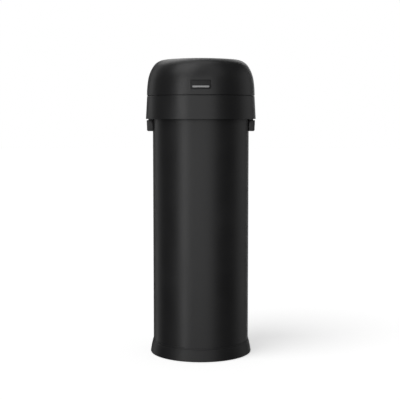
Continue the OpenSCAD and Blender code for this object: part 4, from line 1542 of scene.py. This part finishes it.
    def add_pins(self) -> None:
        """The hinge's pin, riveted over at both ends, and the two catch pins."""
        reach, head, r = self.tower_out, self.pin_head, self.pin_r
        outline = rounded([(0, -reach - 1), (head, -reach - 1, 0.8), (head, -reach), (r, -reach),
                           (r, reach), (head, reach), (head, reach + 1, 0.8), (0, reach + 1)],
                          closed=False, hold=0.2)
        pin = revolve(outline, around(36)).laid(Axis.X)
        add_piece("riveted_hinge_pin", "hinge_pin", BRIGHT_ZINC,
                  [pin.moved(0, self.hinge[1], self.hinge[2])])
        short = rod(self.catch_pin, -self.pins.high[1], self.pins.high[1], 0.4, 36).laid(Axis.Y)
        add_piece("catch_pivot_pins", "catch_pins", BRIGHT_ZINC,
                  both_sides(short.moved(self.catch[0], 0, self.catch[2])))

    def add_springs(self) -> None:
        """The catches' torsion springs.

        The path is a helix round the pin: (R cos a, pitch a / turn, R sin a), with a straight
        leg up from its first end and a short one down from its last.
        """
        a = np.radians(np.linspace(-180.0, 360.0 * self.coil_turns - 180.0, 24 * self.coil_turns + 1))
        half = self.coil_turns * self.coil_pitch / 2
        y = np.linspace(-half, half, len(a))
        coil = np.stack([self.coil_r * np.cos(a), y, self.coil_r * np.sin(a)], -1)
        up = coil[:1] + np.array([[0, 0, 8.0], [0, 0, 4.0], [0, 0, 0.5]])
        down = coil[-1:] + np.array([[0, 0, -0.5], [0, 0, -2.4]])
        path = np.vstack([up, coil, down])
        spring = wire(path, self.coil_wire, (0.0, 1.0, 0.0), 8)
        add_piece("catch_torsion_springs", "catch_springs", BRIGHT_ZINC,
                  both_sides(spring.moved(self.catch[0], 0, self.catch[2])))


# ------------------------------------------------------------------ side catches


@dataclass
class Catches:
    """The two side catches: a curved lever with a hub inside the collar, and a rubber pad."""

    gap: float = 2.2             # between the collar's foot and the lever
    lean: float = 0.6            # how far the face leans in towards its foot
    corner: float = 3.0
    half_wide: float = 15.0
    neck_half: float = 13.5
    neck_thick: float = 2.2      # how far the neck reaches out from the pin's axis
    hub: float = 3.2
    pin: float = 1.56
    slot_half: float = 4.8
    pad_deep: float = 1.9
    grooves: int = 3             # finger grooves across the foot of the face
    groove_deep: float = 0.35
    groove_pitch: float = 3.2
    groove_half: float = 0.8

    def __post_init__(self) -> None:
        """Reads the places of the catches' pieces."""
        self.lever, self.pad = Extent.of("catch_lever_right"), Extent.of("catch_pad_right")
        self.tube, self.collar = Extent.of("body_tube"), Extent.of("collar")
        self.axis = pivot("right_catch_pull")
        self.inner = self.tube.radius + 0.4
        self.face = float(self.lever.high[0])
        self.top = self.collar.bottom - self.gap

    def build(self) -> None:
        """Makes both levers and both pads."""
        for side, turn in (("right", 0.0), ("left", 180.0)):
            body = self.lever_shell().turned(turn)
            steps = [(how, [s.turned(turn) for s in shells]) for how, shells in self.steps()]
            add_piece(f"{side}_catch_moulding", f"catch_lever_{side}", BLACK_MOULDING, [body], steps)
            add_piece(f"{side}_catch_rubber", f"catch_pad_{side}", BLACK_RUBBER,
                      [self.pad_shell(0.0).turned(turn)])

    @staticmethod
    def wrapped(p: Array) -> Array:
        """Points of (radius, height, across) laid round the tube: X is the root of r^2 - y^2."""
        return np.stack([np.sqrt(p[:, 0] ** 2 - p[:, 2] ** 2), p[:, 2], p[:, 1]], -1)

    def lever_shell(self) -> Shell:
        """The lever's body: its side outline carried across and laid round the tube.

        Returns:
            The closed surface. Each finger groove takes groove_deep * exp(-(d / groove_half)^2)
            off the face at a height d from its middle.
        """
        low = self.lever.bottom
        outline = spaced(rounded([(self.inner, low, 0.6), (self.face - self.lean, low, self.corner),
            (self.face, self.top, 1.0), (self.inner, self.top, 0.5)]), 0.7)
        first = low + self.corner + 1.2
        heights = first + self.groove_pitch * np.arange(self.grooves)
        dip = np.exp(-((outline[:, 1:] - heights) / self.groove_half) ** 2).sum(1) * self.groove_deep
        outline[:, 0] -= np.where(outline[:, 0] > self.face - 1.2, dip, 0.0)
        return slab(outline, -self.half_wide, self.half_wide, 0.8, across=14).mapped(self.wrapped)

    def steps(self) -> list[tuple[Boolean, list[Shell]]]:
        """What is added to the lever and cut out of it.

        Returns:
            Its neck and hub are added. The spring's slot, the pin's bore and the pad's pocket
            are cut out.
        """
        x, z, half = float(self.axis[0]), float(self.axis[2]), self.neck_half
        floor, out = z - self.hub - 0.7, x + self.neck_thick
        neck = box((x - self.hub + 0.1, -half, self.top - 2), (out, half, z), 0.5)
        side = rounded([(self.inner + 0.01, self.top - 1), (out - 0.1, self.top - 1),
                        (out - 0.1, floor, 0.5), (self.inner + 0.01, floor, 0.8)])
        web = slab(side, -half + 0.2, half - 0.2, 0.4, across=8).mapped(self.wrapped)
        hub = rod(self.hub, -self.half_wide - 0.2, self.half_wide + 0.2, 0.5).laid(Axis.Y)
        slot = box((x - 12, -self.slot_half, floor), (x + 12, self.slot_half, z + 12), 0.6)
        bore = drill(self.pin, -4 * PAST, 4 * PAST).laid(Axis.Y)
        return [(Boolean.ADD, [neck]), (Boolean.ADD, [web]), (Boolean.ADD, [hub.moved(x, 0, z)]),
                (Boolean.CUT, [slot]), (Boolean.CUT, [bore.moved(x, 0, z)]),
                (Boolean.CUT, [self.pad_shell(0.05)])]

    def pad_shell(self, grow: float) -> Shell:
        """The pad, or the pocket that it sits in.

        Args:
            grow: How much bigger the pocket is than the pad, all round.

        Returns:
            A rounded plate laid round the tube.
        """
        low, high = self.pad.bottom - grow, self.pad.top + grow
        inner = self.inner - 0.1
        outline = rounded([(inner, low, 0.4), (inner + self.pad_deep + grow, low, 0.3),
                           (inner + self.pad_deep + grow, high, 0.3), (inner, high, 0.4)])
        half = self.half_wide - 3.0 + grow
        return slab(spaced(outline, 1.5), -half, half, 0.3, across=12).mapped(self.wrapped)


# ------------------------------------------------------------------ lid


@dataclass
class Lid:
    """The domed lid: its shell with the badge's pocket, the heat shield, screws and badge."""

    wall: float = 2.8
    arcs: tuple[tuple[float, float], ...] = ((210.0, 8.5), (71.0, 25.5), (30.0, 51.0))
    arc_steps: int = 18
    outer_rim: float = 0.8       # rounding of the lower edge
    inner_rim: float = 0.6
    edge_down: float = 1.4       # its lower edge, below the hinge's axis
    edge_out: float = 1.5        # its face there, behind the hinge's axis
    notch_high: float = 4.8      # the gap's upper edge, above the hinge's axis
    barrel_half: float = 8.7
    barrel_bore: float = 1.66
    web_front: float = 2.6       # the web from the barrel to the wall, in front of the axis
    web_up: float = 3.5          # its top, above the gap's upper edge
    pocket_wide: float = 39.0
    pocket_high: float = 17.0
    pocket_corner: float = 2.0
    pocket_deep: float = 1.2
    pocket_up: float = 18.7      # the pocket's middle above the hinge
    pocket_side: float = 0.75    # how wide the pocket's wall is, with its rounded edge
    pocket_ease: float = 0.6     # how far that wall starts outside the pocket
    badge_gap: float = 0.15
    badge_thick: float = 0.7
    strip_wide: float = 33.0
    strip_high: float = 3.4
    strip_down: float = 4.0
    strip_thick: float = 0.25
    shield_sheet: float = 0.8
    shield_wall: float = 96.0
    shield_lean: float = 6.0
    shield_beads: tuple[float, float] = (34.0, 62.0)
    bead_high: float = 1.0
    screw_circle: float = 82.0
    boss: float = 3.6
    screw_hole: float = 1.7

    def __post_init__(self) -> None:
        """Reads the places of the lid's pieces."""
        self.shell_box, self.shield = Extent.of("lid_shell"), Extent.of("heat_shield")
        self.hinge = pivot("lid_hinge")
        self.low = self.hinge[2] - self.edge_down
        self.radius = self.hinge[1] + self.edge_out
        self.middle = self.hinge[2] + self.pocket_up

    def build(self) -> None:
        """Makes every piece of the lid."""
        self.add_shell()
        self.add_shield()
        self.add_badge()

    def face_line(self, inset: float) -> Array:
        """The lid's outline from its lower edge to the middle of its top.

        Each arc starts where the last one ended, with its centre along the last normal, so
        that there is no kink. The crown is the arc that carries on to the axis.

        Args:
            inset: How far inside the lid's face the line runs.

        Returns:
            The points.
        """
        at, angle, parts = np.array([self.radius - inset, self.low]), 0.0, []
        for radius, sweep in self.arcs:
            out = np.array([math.cos(math.radians(angle)), math.sin(math.radians(angle))])
            parts.append(arc(at - (radius - inset) * out, radius - inset, angle, angle + sweep,
                             self.arc_steps))
            at, angle = parts[-1][-1], angle + sweep
        crown = at[0] / math.cos(math.radians(angle))
        middle = (0.0, at[1] - crown * math.sin(math.radians(angle)))
        parts.append(arc(middle, crown, angle, 90.0, self.arc_steps))
        line = without_repeats(np.vstack(parts), False)
        line[-1, 0] = 0.0
        return line

    def pocket(self, x: Array, z: Array, grow: float = 0.0) -> Array:
        """How far a point lies outside the pocket's outline, below zero inside it.

        Args:
            x: Distance from the middle, across.
            z: Distance from the middle, up.
            grow: How much bigger the outline is, all round.

        Returns:
            The distance to a rounded rectangle: that of the corner's circle, beyond the
            straight stretches, or that of the nearer side.
        """
        r = self.pocket_corner
        dx = abs(x) - (self.pocket_wide / 2 + grow - r)
        dz = abs(z) - (self.pocket_high / 2 + grow - r)
        beyond = np.hypot(np.maximum(dx, 0.0), np.maximum(dz, 0.0))
        return beyond + np.minimum(np.maximum(dx, dz), 0.0) - r

    def outline(self) -> Array:
        """The outline of the lid's wall.

        Returns:
            The points from the axis along the inside, round the lower edge and back along the
            face, which has more of them beside the badge's pocket.
        """
        face, back = self.face_line(0.0), self.face_line(self.wall)
        inner, outer = self.inner_rim, self.outer_rim
        rim = np.vstack([arc((self.radius - self.wall + inner, self.low + inner), inner, 180.0, 270.0, 5),
            arc((self.radius - outer, self.low + outer), outer, -90.0, 0.0, 6)])
        back = back[back[:, 1] > self.low + inner + 0.3]
        face = face[face[:, 1] > self.low + outer + 0.3]
        near = abs(face[:, 1] - self.middle) < self.pocket_high / 2 + 3.0
        first, last = np.flatnonzero(near)[[0, -1]]
        face = np.vstack([spaced(face[:first], 3.0, False), spaced(face[first:last + 1], 0.35, False),
                          spaced(face[last + 1:], 3.0, False)])
        return without_repeats(np.vstack([back[::-1], rim, face]), False)

    def pocketed(self, points: Array) -> Array:
        """The lid's wall with the badge's pocket pushed in.

        Args:
            points: The wall's points.

        Returns:
            The points. One at a depth t inside the pocket's eased outline, as a share of
            pocket_side and at most 1, has moved towards the axis by pocket_deep t^2 (3 - 2 t).
        """
        x, y, z = points.T
        radius, line = np.hypot(x, y), self.face_line(0.0)
        on_face = (radius > np.interp(z, line[:, 1], line[:, 0]) - 0.3) & (y < 0)
        t = np.clip(-self.pocket(x, z - self.middle, self.pocket_ease) / self.pocket_side, 0.0, 1.0)
        share = 1.0 - self.pocket_deep * t ** 2 * (3 - 2 * t) * on_face / np.maximum(radius, 1.0)
        return np.stack([x * share, y * share, z], -1)

    def add_shell(self) -> None:
        """The lid's shell: its wall, cut out at the rear, with the hinge's barrel and bosses."""
        dense = math.degrees((self.pocket_wide / 2 + 2.4) / self.radius)
        shell = revolve(self.outline(), around(FINE, (FRONT, dense, 0.18))).mapped(self.pocketed)
        y, z, half = float(self.hinge[1]), float(self.hinge[2]), self.barrel_half
        top = z + self.notch_high
        barrel = rod(KNUCKLE, -half, half, 0.5).laid(Axis.X).moved(0, y, z)
        web = box((-half, y - self.web_front, z), (half, y + 8, top + self.web_up), 0.5)
        web = web.mapped(lambda p: within(p, self.radius - 0.3))
        inside = self.face_line(self.wall / 2)
        boss_top = float(np.interp(-self.screw_circle - self.boss, -inside[:, 0], inside[:, 1]))
        boss = rod(self.boss, self.shield.top, boss_top, 0.3).moved(self.screw_circle)
        bore = drill(self.barrel_bore, -4 * PAST, 4 * PAST).laid(Axis.X).moved(0, y, z)
        add_piece("lid_moulding", "lid_shell", BLACK_MOULDING, [shell],
                  [(Boolean.CUT, [hinge_gap(self.low - 2 * PAST, top)]), (Boolean.ADD, [web]),
                   (Boolean.ADD, [barrel]), (Boolean.ADD, four(boss)), (Boolean.CUT, [bore])])

    def add_shield(self) -> None:
        """The heat shield: a pressed dish with two beads, and the screws that hold it."""
        t = self.shield_sheet
        rim, top = self.shield.bottom + t / 2, self.shield.top - t / 2
        upper = self.shield_wall - self.shield_lean + t / 2
        line, crest = [(0, top)], top + self.bead_high
        for bead in self.shield_beads:
            line += [(bead - 3.0, top, 2.0), (bead - 1.6, crest, 1.5), (bead + 1.6, crest, 1.5),
                     (bead + 3.0, top, 2.0)]
        line += [(upper, top, 3.0), (self.shield_wall + t / 2, rim, 2.0),
                 (self.shield.radius - t / 2, rim)]
        hole = drill(self.screw_hole, top - PAST, top + PAST).moved(self.screw_circle)
        add_piece("stainless_heat_shield", "heat_shield", SPUN_STEEL,
                  [revolve(sheet(rounded(line, closed=False), t), around(FINE))],
                  [(Boolean.CUT, four(hole))])
        screw = Screw(head_r=2.8, head_h=2.2, shank_r=1.38, length=9.5, crown=1.1,
                      recess=Recess.SIX_LOBE, recess_r=1.5, recess_depth=1.2).shell()
        screw = screw.mapped(lambda p: p * (1, 1, -1))
        add_piece("shield_pan_screws", "lid_screws", BRIGHT_ZINC,
                  four(screw.moved(self.screw_circle, 0, self.shield.top - t)))

    def plaque(self, wide: float, high: float, corner: float, middle: float, over: float,
               under: float, edge: float) -> Shell:
        """A thin plate with rounded corners that follows the lid's front.

        Each row runs across at one height. Its half width is wide / 2, less what the corner's
        circle takes off near the top and the bottom. A point at (x, z) lies at Y = -root of
        ((R(z) - d)^2 - x^2), with R the lid's radius at that height and d its depth, which
        falls off round the rim as a quarter circle.

        Args:
            wide: Its width.
            high: Its height.
            corner: The radius of its corners.
            middle: The height of its middle.
            over: How far its face lies inside the lid's face.
            under: How far its back lies inside the lid's face.
            edge: The rounding of its rim.

        Returns:
            The closed surface.
        """
        near = edge * (1 - np.cos(np.linspace(0.0, math.pi / 2, 5)))

        def ends(half: float, count: int) -> Array:
            """Positions from -half to half, closer near both ends."""
            inner = np.linspace(-half + edge * 1.5, half - edge * 1.5, count)
            return np.concatenate([-half + near, inner, (half - near)[::-1]])

        up = ends(high / 2, 16)
        cut = np.clip(abs(up) - (high / 2 - corner), 0.0, corner)
        half = wide / 2 - corner + np.sqrt(corner ** 2 - cut ** 2)
        across = ends(wide / 2, 44) / (wide / 2)
        x, z = across[None] * half[:, None], np.repeat(up[:, None], len(across), 1)
        rim = np.minimum(half[:, None] - abs(x), high / 2 - abs(z))
        fall = edge - np.sqrt(np.maximum(edge ** 2 - (edge - np.clip(rim, 0, edge)) ** 2, 0.0))
        line = self.face_line(0.0)
        radius = np.interp(z + middle, line[:, 1], line[:, 0])
        layers = [np.stack([x, -np.sqrt((radius - depth) ** 2 - x ** 2), z + middle], -1)
                  for depth in (over + fall, np.full_like(fall, under))]
        rows, cols = x.shape
        front = grid_faces(rows, cols, False, False)
        number = np.arange(rows * cols).reshape(rows, cols)
        loop = np.concatenate([number[0, :-1], number[:-1, -1], number[-1, :0:-1], number[:0:-1, 0]])
        after = np.roll(loop, -1)
        wall = np.stack([loop, loop + rows * cols, after + rows * cols, after], -1)
        return Shell(np.concatenate([layer.reshape(-1, 3) for layer in layers]),
                     [front, front[:, ::-1] + rows * cols, wall])

    def add_badge(self) -> None:
        """The badge in its pocket, and the plain light strip printed on it."""
        face = self.pocket_deep - self.badge_thick
        back = self.pocket_deep - 0.02
        grow = -2 * self.badge_gap
        add_piece("badge_plaque", "badge_plate", DULL_INSERT,
                  [self.plaque(self.pocket_wide + grow, self.pocket_high + grow,
                               self.pocket_corner - self.badge_gap, self.middle, face, back, 0.3)])
        add_piece("badge_light_strip", "badge_strip", GREY_INK,
                  [self.plaque(self.strip_wide, self.strip_high, self.strip_high / 4,
                               self.middle - self.strip_down, face - self.strip_thick, face - 0.02, 0.1)])


# ------------------------------------------------------------------ studio


@dataclass(frozen=True)
class SoftBox:
    """A large soft light that faces the bin."""

    name: str
    azimuth: float               # degrees round the bin: 0 is the front, 90 the right
    elevation: float
    distance: float              # metres
    wide: float
    high: float
    glow: float                  # how bright its face is, with white as 1

    def add(self, aim: Array, lit: bpy.types.Collection) -> None:
        """Makes the light.

        Args:
            aim: The point that it faces, in metres.
            lit: The collection that says what it lights.
        """
        lamp = bpy.data.lights.new(self.name, "AREA")
        lamp.shape, lamp.size, lamp.size_y = "RECTANGLE", self.wide, self.high
        lamp.energy = self.glow * math.pi * self.wide * self.high
        a, e = math.radians(self.azimuth), math.radians(self.elevation)
        out = np.array([math.sin(a) * math.cos(e), -math.cos(a) * math.cos(e), math.sin(e)])
        holder = bpy.data.objects.new(self.name, lamp)
        side = unit(np.cross([0.0, 0.0, 1.0], out))
        turn = np.eye(4)
        turn[:3, :3] = np.stack([side, np.cross(out, side), out], -1)
        turn[:3, 3] = aim + out * self.distance
        bpy.context.scene.collection.objects.link(holder)
        holder.matrix_world = Matrix(turn.tolist())
        holder.light_linking.receiver_collection = lit


@dataclass(frozen=True)
class FloorLight:
    """An even light from one direction, which draws the bin's soft shadow on the floor."""

    name: str
    azimuth: float
    elevation: float
    soft: float                  # degrees across
    strength: float

    def add(self, lit: bpy.types.Collection) -> None:
        """Makes the light.

        Args:
            lit: The collection that says what it lights.
        """
        lamp = bpy.data.lights.new(self.name, "SUN")
        lamp.angle, lamp.energy = math.radians(self.soft), self.strength
        holder = bpy.data.objects.new(self.name, lamp)
        holder.rotation_euler = (math.radians(90.0 - self.elevation), 0.0, math.radians(self.azimuth))
        bpy.context.scene.collection.objects.link(holder)
        holder.light_linking.receiver_collection = lit


@dataclass
class Studio:
    """A plain white studio: the floor, soft lights and the camera."""

    focal: float = 87.26         # millimetres
    sensor: float = 36.0
    camera_back: float = 2.0323  # metres in front of the bin's axis
    camera_up: float = 0.5005
    camera_aside: float = -0.0017
    camera_down: float = 5.04    # degrees below the horizon
    aim_up: float = 0.3          # the height that the soft boxes face
    floor_half: float = 12.0
    fill: float = 0.06

    def build(self) -> None:
        """Makes the studio."""
        self.add_camera()
        floor = self.add_floor()
        self.add_world()
        bin_only = self.receivers("lights_bin_only", floor, "EXCLUDE")
        for light in self.soft_boxes():
            light.add(np.array([0.0, 0.0, self.aim_up]), bin_only)
        floor_only = self.receivers("lights_floor_only", floor, "INCLUDE")
        FloorLight("floor_key", azimuth=-47.0, elevation=60.0, soft=36.0, strength=1.15).add(floor_only)
        FloorLight("floor_overhead", azimuth=0.0, elevation=89.0, soft=150.0, strength=0.6).add(floor_only)

    def soft_boxes(self) -> list[SoftBox]:
        """The soft lights: tall ones round the bin, which its wall mirrors, and high ones.

        Returns:
            The lights. A tall one's row is (name, azimuth, wide, glow), and a high one's is
            (name, azimuth, elevation, wide, glow).
        """
        tall = (("key", -39.0, 0.6, 3.3), ("front", 4.0, 2.4, 1.0), ("right", 112.0, 1.9, 0.35),
                ("rear_right", 160.0, 0.7, 0.9), ("rear_left", -130.0, 0.7, 0.7))
        high = (("high_left", -45.0, 56.0, 1.1, 1.9), ("high_rear_left", -150.0, 52.0, 1.0, 1.5),
                ("high_rear", 175.0, 40.0, 1.1, 0.9), ("high_right", 30.0, 48.0, 1.0, 0.6),
                ("top", 0.0, 84.0, 1.0, 1.05))
        return [*(SoftBox(f"{name}_soft_box", turn, 3.0, 2.4, wide, 2.6, glow)
                  for name, turn, wide, glow in tall),
                *(SoftBox(f"{name}_soft_box", turn, rise, 1.8, wide, 1.0, glow)
                  for name, turn, rise, wide, glow in high)]

    @staticmethod
    def receivers(name: str, floor: bpy.types.Object, state: str) -> bpy.types.Collection:
        """A collection that keeps a light on the floor or off it.

        Args:
            name: The collection's name.
            floor: The floor.
            state: "INCLUDE" for the floor alone, "EXCLUDE" for all but the floor.

        Returns:
            The collection.
        """
        made = bpy.data.collections.new(name)
        made.objects.link(floor)
        made.collection_objects[0].light_linking.link_state = state
        return made

    def add_camera(self) -> None:
        """The camera, a little above half the bin's height and tipped slightly down."""
        camera = bpy.data.objects.new("camera", bpy.data.cameras.new("camera"))
        camera.data.lens, camera.data.sensor_width = self.focal, self.sensor
        camera.location = (self.camera_aside, -self.camera_back, self.camera_up)
        camera.rotation_euler = (math.radians(90.0 - self.camera_down), 0.0, 0.0)
        bpy.context.scene.collection.objects.link(camera)
        bpy.context.scene.camera = camera

    def add_floor(self) -> bpy.types.Object:
        """The floor: a wide sheet of paper that takes a shadow and isn't mirrored.

        Returns:
            The floor.
        """
        half = self.floor_half
        mesh = bpy.data.meshes.new("studio_floor")
        mesh.from_pydata([(-half, -half, 0), (half, -half, 0), (half, half, 0),
                          (-half, half, 0)], [], [(0, 1, 2, 3)])
        mesh.materials.append(WHITE_PAPER.material())
        floor = bpy.data.objects.new("studio_floor", mesh)
        bpy.context.scene.collection.objects.link(floor)
        floor.visible_glossy = floor.visible_diffuse = floor.visible_shadow = False
        return floor

    def add_world(self) -> None:
        """Even fill light from all round, behind a white backdrop."""
        world = bpy.data.worlds.new("white_studio")
        bpy.context.scene.world = world
        world.use_nodes = True
        tree = world.node_tree
        tree.nodes.clear()
        seen = add_node(tree, "ShaderNodeLightPath").outputs["Is Camera Ray"]
        level = add_node(tree, "ShaderNodeMapRange", {"Value": seen, "To Min": self.fill, "To Max": 1.0})
        sky = add_node(tree, "ShaderNodeBackground", {
            "Color": linear("#ffffff"), "Strength": level.outputs["Result"]})
        add_node(tree, "ShaderNodeOutputWorld", {"Surface": sky.outputs["Background"]})
        bpy.context.scene.view_settings.view_transform = "Standard"


def main() -> None:
    """Builds the studio and then the bin, from the floor up."""
    logging.basicConfig(level=logging.INFO, format="%(message)s")
    for part in (Studio(), Stand(), Bucket(), Head(), Catches(), Lid()):
        LOG.info("building the %s", type(part).__name__.lower())
        part.build()


if __name__ == "__main__":
    main()
